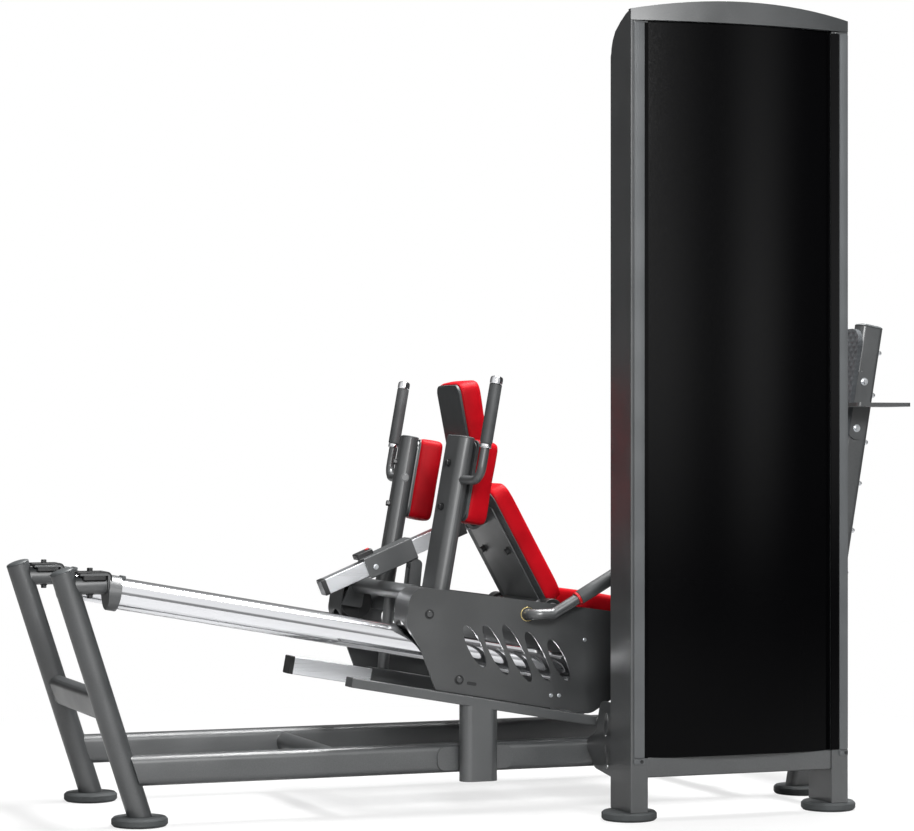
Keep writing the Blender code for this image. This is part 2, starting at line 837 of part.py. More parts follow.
def build_tower_cap(paint, x):
    """A lip that follows the bowed cover in plan and arches in front view, with a roof falling away behind."""
    half = (TOWER_RIGHT_X - TOWER_LEFT_X) / 2
    low = TOWER_TOP_Z + GAP
    plan = cover_arc(half, COVER_BULGE + 0.004, 16)
    plan = [Vector((p.x, p.y + tower_front_y())) for p in plan]
    back = CAP_LIP_Y - GAP
    plan += [Vector((half, back)), Vector((-half, back))]
    cap = solid(
        "tower_cap", prism_mesh(plan, low, low + CAP_END_H + CAP_RISE + 0.02, floor_plane), paint, machine,
        (x, 0, 0),
    )
    arch = [Vector((p.x, low + CAP_END_H - p.y)) for p in cover_arc(half + 0.01, CAP_RISE, 16)]
    arch += [Vector((half + 0.01, low - 0.02)), Vector((-half - 0.01, low - 0.02))]
    keep = solid("cap_arch", prism_mesh(arch, -0.8, -0.4, side_plane), None, machine, (x, 0, 0))
    combine(cap, keep, "INTERSECT")
    over = [Vector((CAP_LIP_Y - 0.006, 1.9375)), *roof_line()]
    under = [Vector((p.x - 0.35 * ROOF_T, p.y - ROOF_T)) for p in over[1:-1]]
    under = [Vector((CAP_LIP_Y - 0.006, 1.9335)), *under, Vector((over[-1].x - ROOF_T, over[-1].y))]
    inside = half - POST_X - GAP
    roof = solid(
        "cap_roof", prism_mesh([*over, *reversed(under)], -inside, inside, end_plane), None, machine, (x, 0, 0),
    )
    join(cap, roof)


def build_tower_link(paint):
    """A round-edged gusset from the base rail to the rear tower post, lightened by two lens holes."""
    y_base = -BASE_Y - BASE_W / 2 - GAP
    y_post = TOWER_Y + POST_Y / 2 + GAP
    outline = rounded(
        [(y_post, 0.078), (y_base - 0.045, 0.098), (y_base, 0.142), (y_base, 0.166), (y_base - 0.052, 0.190),
         (y_base - 0.080, 0.268), (y_post, 0.268)],
        [0, 0.03, 0.006, 0.006, 0.02, 0.03, 0],
    )
    middle = y_base - 0.115
    holes = [ellipse(0.030, 0.013, 0.12 * k, (middle, BASE_Z + 0.041 + k * 0.040), 16) for k in (-1, 1)]
    solid(
        "tower_link", prism_mesh(outline, 0, 0.006, end_plane, holes=holes), paint, machine,
        (TOWER_LEFT_X + POST_X - 0.010, 0, 0),
    )


def pulley_mesh():
    """A cable wheel with a round groove, a thin web and a bored hub."""
    rim, groove = PULLEY_R + 0.006, PULLEY_R - CABLE_R - RUN
    half, web = PULLEY_W / 2, 0.004
    profile = [
        (PULLEY_BORE, -half), (0.017, -half), (0.019, -web), (groove - 0.008, -web), (groove - 0.005, -half),
        (rim, -half), (groove, -0.002), (groove, 0.002), (rim, half), (groove - 0.005, half),
        (groove - 0.008, web), (0.019, web), (0.017, half), (PULLEY_BORE, half),
    ]
    return turned_mesh(profile, hollow=True, count=20)


def turn_pulley_s():
    """Where the cable leaves the rail direction and turns across to the tower."""
    return carriage_axes(CABLE_X, cable_low_z())[0] - PULLEY_R


def cable_low_z():
    """Height of the cable's run across to the tower."""
    c, n = math.cos(RAIL_SLOPE), math.sin(RAIL_SLOPE)
    return RAIL_MID_Z + (CABLE_T - CABLE_X * n) / c


def build_pulleys(nylon, paint):
    s = turn_pulley_s()
    solid("turn_pulley", pulley_mesh(), nylon, carriage_home, (s, -PULLEY_R, CABLE_T))
    solid(
        "low_pulley", pulley_mesh(), nylon, machine,
        (CABLE_X, TOWER_Y + PULLEY_R, cable_low_z() + PULLEY_R), (0, math.pi / 2, 0),
    )
    heads = (("front", CABLE_X - PULLEY_R), ("middle", STACK_X + PULLEY_R))
    for name, x in heads:
        solid(f"top_pulley_{name}", pulley_mesh(), nylon, machine, (x, TOWER_Y, TOP_PULLEY_Z), (math.pi / 2, 0, 0))
    half_open = (TOWER_RIGHT_X - TOWER_LEFT_X) / 2 - POST_X - GAP
    beam_y = TOWER_Y + 0.034
    beam = solid(
        "tower_head_beam", prism_mesh(rectangle(0.030, 0.060, 0.004), -half_open, half_open, end_plane), paint, machine,
        (tower_middle_x(), beam_y, TOP_PULLEY_Z),
    )
    pins = [
        rod(f"head_pin_{name}", (x, beam_y, TOP_PULLEY_Z), (x, TOWER_Y - 0.014, TOP_PULLEY_Z), PULLEY_BORE - RUN, None, machine, 16)
        for name, x in heads
    ]
    sockets = [
        rod(f"rod_socket_{i}", (STACK_X + i * ROD_HALF_SPREAD, TOWER_Y, TOP_PULLEY_Z - 0.028),
            (STACK_X + i * ROD_HALF_SPREAD, TOWER_Y, TOP_PULLEY_Z - 0.004), 0.020, None, machine, 16)
        for i in (-1,)
    ]
    join(beam, *pins, *sockets)


def stack_outline(count):
    """Front view of a pile of weights, each with a relieved edge."""
    half = STACK_LEN / 2
    right = []
    for i in range(count):
        z = i * WEIGHT_T
        right += [
            Vector((half - WEIGHT_GROOVE, z)), Vector((half, z + WEIGHT_GROOVE)),
            Vector((half, z + WEIGHT_T - WEIGHT_GROOVE)), Vector((half - WEIGHT_GROOVE, z + WEIGHT_T)),
        ]
    points = []
    for p in right:
        if not points or (p - points[-1]).length > 1e-6:
            points.append(p)
    return points + [Vector((-p.x, p.y)) for p in reversed(points)]


def build_stack(iron, chrome, red):
    lifted_z = STACK_BASE_Z + RESTING_WEIGHTS * WEIGHT_T + GAP
    half = STACK_W / 2
    pile = solid(
        "resting_weights", prism_mesh(stack_outline(RESTING_WEIGHTS), -half, half, side_plane), iron, machine,
        (STACK_X, TOWER_Y, STACK_BASE_Z),
    )
    lifted = solid(
        "lifted_weights", prism_mesh(stack_outline(LIFTED_WEIGHTS), -half, half, side_plane), iron, stack_home,
        (STACK_X, TOWER_Y, lifted_z),
    )
    lifted_top = lifted_z + LIFTED_WEIGHTS * WEIGHT_T
    stem_low = STACK_BASE_Z + 0.02
    stem = rod("selector_stem", (STACK_X, TOWER_Y, stem_low), (STACK_X, TOWER_Y, lifted_top + 0.06), STEM_R, None, stack_home, 16)
    cone = solid(
        "cable_cone", turned_mesh([(0, 0), (0.022, 0), (0.022, 0.02), (STEM_R, 0.04), (0, 0.04)], count=16),
        None, stack_home, (STACK_X, TOWER_Y, lifted_top - 0.002),
    )
    join(lifted, stem, cone)
    bores = [
        rod(f"stack_bore_{i}", (STACK_X + i * ROD_HALF_SPREAD, TOWER_Y, 0.15),
            (STACK_X + i * ROD_HALF_SPREAD, TOWER_Y, lifted_top + 0.1), ROD_R + 2 * RUN, None, machine, 16)
        for i in (-1, 1)
    ]
    stem_bore = rod(
        "stem_bore", (STACK_X, TOWER_Y, STACK_BASE_Z - 0.01), (STACK_X, TOWER_Y, lifted_z + 0.01),
        STEM_R + 2 * RUN, None, machine, 16,
    )
    cut(pile, *bores, stem_bore)
    pin_z = lifted_z + WEIGHT_T / 2
    pin_hole = rod(
        "pin_hole", (STACK_X, TOWER_Y + STEM_R + 0.004, pin_z), (STACK_X, TOWER_Y + half + 0.01, pin_z),
        PIN_R + RUN, None, stack_home, 12,
    )
    cut(lifted, *bores, pin_hole)
    build_selector_pin(red, pin_z)
    rod_top = {-1: TOP_PULLEY_Z - 0.028 - GAP, 1: TOP_PULLEY_Z - PULLEY_R - 0.012}
    for name, i in (("rear", -1), ("front", 1)):
        x = STACK_X + i * ROD_HALF_SPREAD
        rod(f"guide_rod_{name}", (x, TOWER_Y, STACK_BASE_Z), (x, TOWER_Y, rod_top[i]), ROD_R, chrome, machine, 16)


def build_selector_pin(red, pin_z):
    inner = TOWER_Y + STEM_R + 0.005
    length = TOWER_Y + POST_Y / 2 + 0.045 - inner
    knob = length - 0.030
    profile = [
        (0, 0), (PIN_R - 0.001, 0), (PIN_R, 0.002), (PIN_R, knob), (PIN_KNOB_R, knob + 0.004),
        (PIN_KNOB_R, length - 0.004), (PIN_KNOB_R - 0.004, length), (0, length),
    ]
    solid("selector_pin", turned_mesh(profile, count=16), red, stack_home, (STACK_X, inner, pin_z), (-math.pi / 2, 0, 0))


def build_cable(steel):
    """One coated cable: start bar nose, turn pulley, across to the tower, up, over the head and down."""
    r = PULLEY_R
    s = turn_pulley_s()
    lifted_top = STACK_BASE_Z + (RESTING_WEIGHTS + LIFTED_WEIGHTS) * WEIGHT_T + GAP
    steps = 8
    points = [carriage_point(START_NOSE_S + 0.012, 0, CABLE_T)]
    for k in range(steps + 1):
        a = math.pi / 2 * k / steps
        points.append(carriage_point(s + r * math.sin(a), -r + r * math.cos(a), CABLE_T))
    low = Vector((CABLE_X, TOWER_Y + r, cable_low_z() + r))
    for k in range(steps + 1):
        a = math.pi / 2 * k / steps
        points.append(low + Vector((0, -r * math.sin(a), -r * math.cos(a))))
    for x, start in ((CABLE_X - r, 0), (STACK_X + r, math.pi / 2)):
        for k in range(steps + 1):
            a = start + math.pi / 2 * k / steps
            points.append(Vector((x + r * math.cos(a), TOWER_Y, TOP_PULLEY_Z + r * math.sin(a))))
    points.append(Vector((STACK_X, TOWER_Y, lifted_top + 0.06 + GAP)))
    solid("lift_cable", swept_mesh(points, CABLE_R, 8), steel, machine)


# Carriage: side plates, cross members, rollers

def rear_edge():
    """Rear edge of a side plate from the top corner down: round nose, then an S sweep in to the foot."""
    rear, low = SIDE_REAR_S, SIDE_BOTTOM_T
    return [(rear, SIDE_TOP_T[0] + 0.001), (rear + 0.002, 0.040), (rear + 0.052, -0.014), (rear + 0.106, low)]


def side_outline():
    """Side plate: sloped top, swept rear edge and a raked front corner."""
    front, low = SIDE_FRONT_S, SIDE_BOTTOM_T
    return rounded(
        [*rear_edge(), (front - 0.085, low), (front, -0.030), (front, SIDE_TOP_T[1] + 0.003)],
        [0.040, 0.045, 0.060, 0.012, 0.045, 0.050, 0.022], 6,
    )


def flange_outline():
    """The strip along the rear edge that is bent inwards, from the top edge to the foot."""
    outer = [Vector((SIDE_REAR_S + 0.075, SIDE_TOP_T[0] + 0.0045)), *side_outline()[:21]]
    inner = []
    for i, point in enumerate(outer):
        before, after = outer[max(i - 1, 0)], outer[min(i + 1, len(outer) - 1)]
        along = (after - before).normalized()
        inner.append(point + Vector((-along.y, along.x)) * FLANGE_T)
    return outer + inner[::-1]


def build_side_plates(paint):
    for side, sign in sides():
        low = sign * SIDE_Y - SIDE_T / 2
        holes = [
            ellipse(half, SLOT_HALF_W, SLOT_LEAN, (SLOT_FIRST_S + i * SLOT_STEP, SLOT_T))
            for i, half in enumerate(SLOT_HALF)
        ]
        plate = solid(
            f"side_plate_{side}", prism_mesh(side_outline(), low, low + SIDE_T, side_plane, holes), paint, carriage,
        )
        end_y = RAIL_Y - ROLLER_W / 2 - 0.006
        hub_y = RAIL_Y + ROLLER_W / 2 + RUN
        for i, s in enumerate(ROLLER_S):
            start = (s, sign * SIDE_Y, ROLLER_T)
            pin = rod(f"axle_{side}_{i}", start, (s, sign * end_y, ROLLER_T), AXLE_R, None, carriage, 16)
            spacer = rod(
                f"spacer_{side}_{i}", start, (s, sign * hub_y, ROLLER_T), AXLE_R + 0.006, None, carriage, 16,
            )
            join(plate, pin, spacer)
        low, high = sorted((sign * SIDE_Y, sign * (SIDE_Y - FLANGE_IN)))
        flange = solid(f"flange_{side}", prism_mesh(flange_outline(), low, high, side_plane), None, carriage)
        rail_notch = rod(
            f"rail_notch_{side}", (SIDE_REAR_S - 0.05, sign * RAIL_Y, 0), (SIDE_REAR_S + 0.2, sign * RAIL_Y, 0),
            RAIL_NOTCH_R, None, carriage,
        )
        cut(flange, rail_notch)
        join(plate, flange)


def roller_mesh(reach):
    """A wheel hollowed to the rail's round, with a bored hub."""
    half = ROLLER_W / 2
    bore = AXLE_R + RUN
    rail = RAIL_R + GAP
    tread = []
    steps = 4
    for k in range(steps + 1):
        y = -half + 2 * half * k / steps
        drop = rail - math.sqrt(max(rail ** 2 - y ** 2, 1e-9))
        tread.append((reach - RAIL_R - GAP + drop, y))
    profile = [(bore, -half), (tread[0][0] - 0.003, -half), *tread, (tread[-1][0] - 0.003, half), (bore, half)]
    return turned_mesh(profile, hollow=True, count=24)


def build_rollers(nylon):
    for side, sign in sides():
        for name, s in zip(("rear", "front"), ROLLER_S):
            solid(
                f"roller_{name}_{side}", roller_mesh(ROLLER_T), nylon, carriage, (s, sign * RAIL_Y, ROLLER_T),
                (math.pi / 2, 0, 0),
            )


def build_cross_members(paint):
    inner = SIDE_Y - SIDE_T / 2 - GAP
    half = REAR_TUBE_HALF
    rear = rod(
        "rear_cross_tube", (REAR_TUBE_S, -half, REAR_TUBE_T), (REAR_TUBE_S, half, REAR_TUBE_T),
        CROSS_TUBE_R, paint, carriage,
    )
    cheek_rear = SIDE_REAR_S + FLANGE_T + RUN
    cheek = rounded(
        [(cheek_rear, 0.062), (REAR_TUBE_S + 0.016, 0.062), (REAR_TUBE_S + 0.016, REAR_TUBE_T - 0.006),
         (cheek_rear + 0.012, REAR_TUBE_T - 0.006)], [0, 0.006, 0.002, 0.002], 3,
    )
    for i, low in enumerate((-half, half - 0.005)):
        plate = solid(f"tube_cheek_{i}", prism_mesh(cheek, low, low + 0.005, side_plane), None, carriage)
        join(rear, plate)
    housing_top = START_T + START_BAR / 2 + HOUSING_WALL + 5 * GAP
    join(rear, rod("rear_strut", (-0.162, 0, housing_top), (-0.177, 0, REAR_TUBE_T), STRUT_R, None, carriage, 16))
    base = rod(
        "post_base_tube", (BASE_TUBE_S, -inner, BASE_TUBE_T), (BASE_TUBE_S, inner, BASE_TUBE_T),
        CROSS_TUBE_R, paint, carriage,
    )
    pivot_s, pivot_t = carriage_axes(*SLEEVE_PIVOT)
    outline = rounded(
        [(BASE_TUBE_S - 0.017, BASE_TUBE_T), (BASE_TUBE_S + 0.017, BASE_TUBE_T),
         (pivot_s + 0.015, pivot_t + 0.015), (pivot_s - 0.015, pivot_t + 0.015)],
        [0, 0, 0.013, 0.013],
    )
    ear_y = SLEEVE_LUG_HALF + RUN
    for i, low in enumerate((-ear_y - SLEEVE_EAR_T, ear_y)):
        ear = solid(f"sleeve_ear_{i}", prism_mesh(outline, low, low + SLEEVE_EAR_T, side_plane), None, carriage)
        join(base, ear)
    reach = ear_y + SLEEVE_EAR_T - 0.001
    join(base, rod(
        "sleeve_pin", (pivot_s, -reach, pivot_t), (pivot_s, reach, pivot_t), ADJUST_PIN_R, None, carriage, 16,
    ))
    build_seat_frame(paint, inner)


def build_seat_frame(paint, inner):
    """Stop tube, backrest shaft, seat pan and the square housing of the start bar, welded as one."""
    frame = rod("seat_frame", (STOP_TUBE_S, -inner, PIVOT_T), (STOP_TUBE_S, inner, PIVOT_T), PIVOT_R, paint, carriage)
    pieces = [rod("back_shaft", (PIVOT_S, -inner, PIVOT_T), (PIVOT_S, inner, PIVOT_T), PIVOT_SHAFT_R, None, carriage, 16)]
    outer = START_BAR + 2 * HOUSING_WALL
    housing = solid(
        "start_housing", prism_mesh(
            rectangle(outer, outer, 0.0022), HOUSING_REAR_S, HOUSING_FRONT_S, end_plane,
            holes=[rectangle(START_BAR + 2 * RUN, START_BAR + 2 * RUN)],
        ),
        None, carriage, (0, 0, START_T),
    )
    strut_y = 0.130
    web_low = START_T + outer / 2 - 0.0027
    for i, sign in enumerate((-1, 1)):
        low, high = sorted((sign * strut_y, sign * (strut_y + 0.008)))
        pieces.append(solid(
            f"seat_cheek_{i}",
            prism_mesh(
                rounded([(STOP_TUBE_S - 0.02, PIVOT_T - 0.02), (STOP_TUBE_S + 0.01, START_T + 0.012), (0.24, START_T + 0.012),
                         (SEAT_S + SEAT_LEN - 0.03, SEAT_TOP_T - SEAT_T - 0.03), (SEAT_S + SEAT_LEN - 0.03, SEAT_TOP_T - SEAT_T - 0.003),
                         (SEAT_S + 0.005, SEAT_TOP_T - SEAT_T - 0.003), (PIVOT_S - 0.02, PIVOT_T + 0.004)], 0.004, 2),
                low, high, side_plane,
            ),
            None, carriage,
        ))
    pan_top = SEAT_TOP_T - SEAT_T - GAP
    pieces.append(solid(
        "seat_pan", prism_mesh(rectangle(SEAT_LEN - 0.02, SEAT_W - 0.03, 0.02), pan_top - SEAT_PAN_T, pan_top, floor_plane),
        None, carriage, (SEAT_S + SEAT_LEN / 2, 0, 0),
    ))
    for i, s in enumerate((STOP_TUBE_S + 0.035, 0.215)):
        pieces.append(solid(
            f"housing_bridge_{i}", prism_mesh(rectangle(0.040, 0.012, 0.002), -strut_y - 0.004, strut_y + 0.004, side_plane),
            None, carriage, (s, 0, web_low + 0.006),
        ))
    join(frame, *pieces, housing)


# Shoulder posts, handles, pads and seat

def shoulder_pad_middle():
    return POST_TOP_T - SHOULDER_PAD_LEN / 2 + 0.003


def build_shoulders(paint, vinyl):
    for side, sign in sides():
        section = rectangle(POST_OVAL_S, POST_OVAL_Y, POST_OVAL_S / 2, 6)
        turn = (0, 0, -sign * POST_TOE)
        at = (POST_S, sign * POST_SIDE_Y, 0)
        post = solid(
            f"shoulder_post_{side}", prism_mesh(section, BASE_TUBE_T + CROSS_TUBE_R + GAP, POST_TOP_T, floor_plane),
            paint, carriage, at, turn,
        )
        handle_path = bent_path(
            [
                (POST_S + 0.006, sign * (POST_SIDE_Y + 0.015), HANDLE_LOW_T),
                (HANDLE_S, sign * HANDLE_Y, HANDLE_LOW_T), (HANDLE_S, sign * HANDLE_Y, HANDLE_TOP_T),
            ],
            HANDLE_BEND,
        )
        handle = solid(f"handle_{side}", swept_mesh(handle_path, HANDLE_R), None, carriage)
        board = solid(
            f"pad_board_{side}",
            prism_mesh(
                rectangle(SHOULDER_PAD_W - 0.012, SHOULDER_PAD_LEN - 0.012, 0.024), POST_OVAL_S / 2 - 0.003,
                POST_OVAL_S / 2 + PAD_BOARD_T, end_plane,
            ),
            None, post, (0, 0, shoulder_pad_middle()),
        )
        join(post, handle, board)
        build_shoulder_pad(side, sign, turn, at, vinyl)


def build_shoulder_pad(side, sign, turn, at, vinyl):
    """A pad on its board, bolted to the front of the post and turned in with it."""
    holder = empty(f"shoulder_pad_home_{side}", carriage, at, turn)
    mesh = cushion_mesh(SHOULDER_PAD_LEN, SHOULDER_PAD_W, SHOULDER_PAD_T, 0.030, 0.006)
    out = POST_OVAL_S / 2 + PAD_BOARD_T + GAP
    solid(f"shoulder_pad_{side}", mesh, vinyl, holder, (out, 0, shoulder_pad_middle()), (0, math.pi / 2, 0))


def build_seat_pad(vinyl):
    mesh = cushion_mesh(SEAT_LEN, SEAT_W, SEAT_T, 0.045, 0.006, 5)
    solid("seat_pad", mesh, vinyl, carriage, (SEAT_S + SEAT_LEN / 2, 0, SEAT_TOP_T - SEAT_T))


# Backrest on its shaft

def build_backrest(paint, vinyl):
    """A folded channel on the shaft, a thin board in front of it, the pads, and a strut to the head board."""
    pad_back = BACK_FACE_OUT - BACK_PAD_T
    front = pad_back - GAP - BACK_BOARD_T
    rear = front - CHANNEL_DEPTH
    half = CHANNEL_HALF_W
    outline = rounded(
        [(front, BACK_PAD_START + 0.03), (front, CHANNEL_TOP), (rear, CHANNEL_TOP - 0.010), (rear, 0.06),
         (-0.026, -0.014), (-0.004, -0.022), (front, -0.010)],
        [0.002, 0.004, 0.004, 0.03, 0.012, 0.010, 0.004], 4,
    )
    hub = PIVOT_SHAFT_R + RUN
    channel = solid("back_frame", prism_mesh(outline, -half, half, side_plane), paint, backrest)
    hollow = solid(
        "channel_hollow",
        prism_mesh(
            [Vector((front - CHANNEL_T, CHANNEL_TOP + 0.05)), Vector((rear - 0.08, CHANNEL_TOP + 0.05)),
             Vector((rear - 0.08, 0.024)), Vector((front - CHANNEL_T, 0.024))],
            -half + CHANNEL_T, half - CHANNEL_T, side_plane,
        ),
        None, backrest,
    )
    boss = rod("hub_boss", (0, -half, 0), (0, half, 0), PIVOT_R, None, backrest)
    bore = rod("hub_bore", (0, -half - 0.01, 0), (0, half + 0.01, 0), hub, None, backrest, 16)
    cut(channel, hollow)
    join(channel, boss)
    pin_x, pin_z = backrest_axes(*ADJUST_PIN)
    pin = rod("adjust_pin", (pin_x, -half + 0.002, pin_z), (pin_x, half - 0.002, pin_z), ADJUST_PIN_R, None, backrest, 16)
    join(channel, pin, build_back_board(front), build_head_strut(front), build_head_board())
    pad_clear = solid(
        "pad_clear",
        prism_mesh(rectangle(0.2, 1.0), -0.3, 0.3, side_plane), None, backrest, (pad_back - GAP + 0.1, 0, -0.43),
    )
    cut(channel, bore, pad_clear)
    middle = BACK_PAD_START + BACK_PAD_LEN / 2
    pad = cushion_mesh(BACK_PAD_LEN, BACK_PAD_W, BACK_PAD_T, 0.035, 0.005, 5)
    solid("back_pad", pad, vinyl, backrest, (pad_back, 0, middle), (0, math.pi / 2, 0))
    head = cushion_mesh(HEAD_PAD_LEN, HEAD_PAD_W, HEAD_PAD_T, 0.030, 0.005)
    base, step, _ = head_axes()
    at = base + step * HEAD_PAD_LEN / 2
    solid("head_pad", head, vinyl, backrest, (at.x, 0, at.y), (0, math.pi / 2 + BACK_LEAN - HEAD_LEAN, 0))


def head_axes():
    """Foot of the head pad's back, the direction up along it and the direction away behind it."""
    turn = BACK_LEAN - HEAD_LEAN
    return (
        Vector(backrest_axes(*HEAD_FOOT)),
        Vector((math.sin(turn), math.cos(turn))),
        Vector((-math.cos(turn), math.sin(turn))),
    )


def build_back_board(front):
    """A board as large as the pad's back, over the channel's face."""
    outline = rectangle(BACK_PAD_W - 0.016, BACK_PAD_LEN - 0.070, 0.02)
    return solid(
        "back_board", prism_mesh(outline, front - 0.001, front + BACK_BOARD_T, end_plane), None, backrest,
        (0, 0, BACK_PAD_START + BACK_PAD_LEN / 2 + 0.030),
    )


def build_head_strut(front):
    """A flat arm from the channel's top edge up to the head board."""
    base, step, out = head_axes()
    board = HEAD_BOARD_T / 2
    thick = 0.005
    outline = [
        Vector((front, CHANNEL_TOP - 0.03)), Vector((front, BACK_PAD_START + BACK_PAD_LEN + 0.006)),
        base + step * 0.012 + out * board, base + step * 0.060 + out * board,
        Vector((front - thick, BACK_PAD_START + BACK_PAD_LEN + 0.020)), Vector((front - thick, CHANNEL_TOP - 0.03)),
    ]
    return solid("head_strut", prism_mesh(outline, -HEAD_STEM_W, HEAD_STEM_W, side_plane), None, backrest)


def build_head_board():
    base, step, _ = head_axes()
    turn = BACK_LEAN - HEAD_LEAN
    middle = base + step * HEAD_PAD_LEN / 2
    outline = rectangle(HEAD_PAD_W - 0.014, HEAD_PAD_LEN - 0.014, 0.026)
    return solid(
        "head_board", prism_mesh(outline, -HEAD_BOARD_T - GAP, -GAP, end_plane), None, backrest,
        (middle.x, 0, middle.y), (0, turn, 0),
    )


def backrest_axes(x, z):
    """A machine point in the X-Z plane, in the leaning axes of the backrest about its shaft."""
    pivot = carriage_point(PIVOT_S, 0, PIVOT_T)
    dx, dz = x - pivot.x, z - pivot.z
    c, n = math.cos(BACK_LEAN), math.sin(BACK_LEAN)
    return dx * c + dz * n, -dx * n + dz * c


# Backrest adjuster, start bar and release lever

def adjuster_reach():
    """Distance along the bar from the point above the sleeve's pivot to the backrest pin."""
    span = math.hypot(ADJUST_PIN[0] - SLEEVE_PIVOT[0], ADJUST_PIN[1] - SLEEVE_PIVOT[1])
    return math.sqrt(span ** 2 - ADJUST_RISE ** 2)


def adjuster_angle():
    """Slope of the bar, which passes above the sleeve's pivot on its way to the backrest pin."""
    line = math.atan2(ADJUST_PIN[1] - SLEEVE_PIVOT[1], ADJUST_PIN[0] - SLEEVE_PIVOT[0])
    return line - math.atan2(ADJUST_RISE, adjuster_reach())


def build_adjuster(paint, chrome):
    outer = ADJUST_BAR + 2 * SLEEVE_WALL
    bore = ADJUST_BAR + 2 * RUN
    sleeve = solid(
        "adjuster_sleeve",
        prism_mesh(rectangle(outer, outer, 0.003), -SLEEVE_BACK, SLEEVE_FRONT, end_plane, holes=[rectangle(bore, bore)]),
        paint, sleeve_home, (0, 0, ADJUST_RISE),
    )
    low = ADJUST_RISE - outer / 2 + 0.003
    lug = solid(
        "sleeve_lug",
        prism_mesh(
            rounded([(-0.013, low), (-0.013, -0.013), (0.013, -0.013), (0.013, low)], [0, 0.012, 0.012, 0]),
            -SLEEVE_LUG_HALF, SLEEVE_LUG_HALF, side_plane, holes=[circle(ADJUST_PIN_R + RUN, 16)],
        ),
        None, sleeve_home,
    )
    join(sleeve, lug)
    reach = adjuster_reach()
    bar = solid(
        "adjuster_bar", prism_mesh(rectangle(ADJUST_BAR, ADJUST_BAR, 0.002, 2), -ADJUST_TAIL, reach - 0.024, end_plane),
        chrome, sleeve_home, (0, 0, ADJUST_RISE),
    )
    eye_hole = ADJUST_PIN_R + ADJUST_EYE_PLAY
    eye = solid(
        "adjuster_eye",
        prism_mesh(
            rounded([(reach - 0.03, -0.0165), (reach + 0.0165, -0.0165), (reach + 0.0165, 0.0165), (reach - 0.03, 0.0165)],
                    [0, 0.016, 0.016, 0]),
            -0.012, 0.012, side_plane, holes=[[p + Vector((reach, 0)) for p in circle(eye_hole, 16)]],
        ),
        None, sleeve_home, (0, 0, ADJUST_RISE),
    )
    join(bar, eye)


def build_start_bar(chrome):
    bar = solid(
        "start_bar", prism_mesh(rectangle(START_BAR, START_BAR, 0.002, 2), START_TAIL_S, START_NOSE_S, end_plane),
        chrome, carriage, (0, 0, START_T),
    )
    hook = solid(
        "cable_hook",
        prism_mesh(
            rounded([(START_NOSE_S - 0.02, START_T), (START_NOSE_S + 0.011, START_T), (START_NOSE_S + 0.011, CABLE_T + 0.016),
                     (START_NOSE_S - 0.02, CABLE_T + 0.016)], [0, 0, 0.01, 0.01]),
            -0.010, 0.010, side_plane,
        ),
        None, carriage,
    )
    join(bar, hook)


def build_lever(paint):
    """A bent tube on a short stub shaft through the right side plate."""
    face = -(SIDE_Y + SIDE_T / 2)
    out = face - LEVER_OUT
    path = bent_path(
        [(0, face - GAP, 0), (0, out, 0), (0.052, out, 0.011), (0.245, out, 0.170)],
        0.024,
    )
    solid("release_lever", swept_mesh(path, LEVER_R, 14), paint, carriage, (LEVER_S, 0, LEVER_T))


def centre_on_floor(root):
    """Moves the whole machine so that its box stands on the origin."""
    bpy.context.view_layer.update()
    graph = bpy.context.evaluated_depsgraph_get()
    corners = []
    for made in WORKING.objects:
        if made.type == "MESH" and not made.hide_render:
            shape = made.evaluated_get(graph).to_mesh()
            corners += [made.matrix_world @ v.co for v in shape.vertices]
    low = [min(c[i] for c in corners) for i in range(3)]
    high = [max(c[i] for c in corners) for i in range(3)]
    root.location = (-(low[0] + high[0]) / 2, -(low[1] + high[1]) / 2, 0)


clear_scene()
machine = empty("machine")
carriage_home = empty("carriage_home", machine, (0, 0, RAIL_MID_Z), (0, RAIL_SLOPE, 0))
carriage = empty("carriage", carriage_home)
stack_home = empty("stack_home", machine)
shaft = carriage_point(PIVOT_S, 0, PIVOT_T)
backrest = empty("backrest", machine, shaft, (0, -BACK_LEAN, 0))
sleeve_home = empty("sleeve_home", machine, (SLEEVE_PIVOT[0], 0, SLEEVE_PIVOT[1]), (0, -adjuster_angle(), 0))

grey_paint = finish_material("graphite_powder_coat", (0.105, 0.108, 0.110), 0.45, 0.2)
foot_rubber = finish_material("foot_rubber", (0.055, 0.058, 0.058), 0.8)
chrome_plate = finish_material("chrome_plate", (0.80, 0.80, 0.82), 0.12, 1.0)
red_vinyl = finish_material("red_vinyl", (0.60, 0.010, 0.016), 0.5)
black_gloss = finish_material("black_acrylic", (0.006, 0.006, 0.007), 0.08)
black_nylon = finish_material("black_nylon", (0.02, 0.02, 0.02), 0.5)
black_iron = finish_material("black_iron", (0.03, 0.03, 0.03), 0.6, 0.5)
plate_rubber = finish_material("plate_rubber", (0.045, 0.048, 0.050), 0.75)

leg_cutters = build_rear_stand(grey_paint)
upright_cutters = build_uprights(grey_paint)
build_feet(foot_rubber)
build_base(grey_paint, leg_cutters, upright_cutters)
build_rails(chrome_plate, upright_cutters)
build_foot_plate(plate_rubber)
build_shelf(grey_paint)
build_guide_beam(grey_paint)
build_tower_posts(grey_paint)
build_tower_shell(grey_paint, black_gloss)
build_tower_link(grey_paint)
build_pulleys(black_nylon, grey_paint)
build_stack(black_iron, chrome_plate, red_vinyl)
build_cable(black_nylon)
build_side_plates(grey_paint)
build_rollers(black_nylon)
build_cross_members(grey_paint)
build_shoulders(grey_paint, red_vinyl)
build_seat_pad(red_vinyl)
build_backrest(grey_paint, red_vinyl)
build_adjuster(grey_paint, chrome_plate)
build_start_bar(chrome_plate)
build_lever(grey_paint)
centre_on_floor(machine)
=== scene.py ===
import math

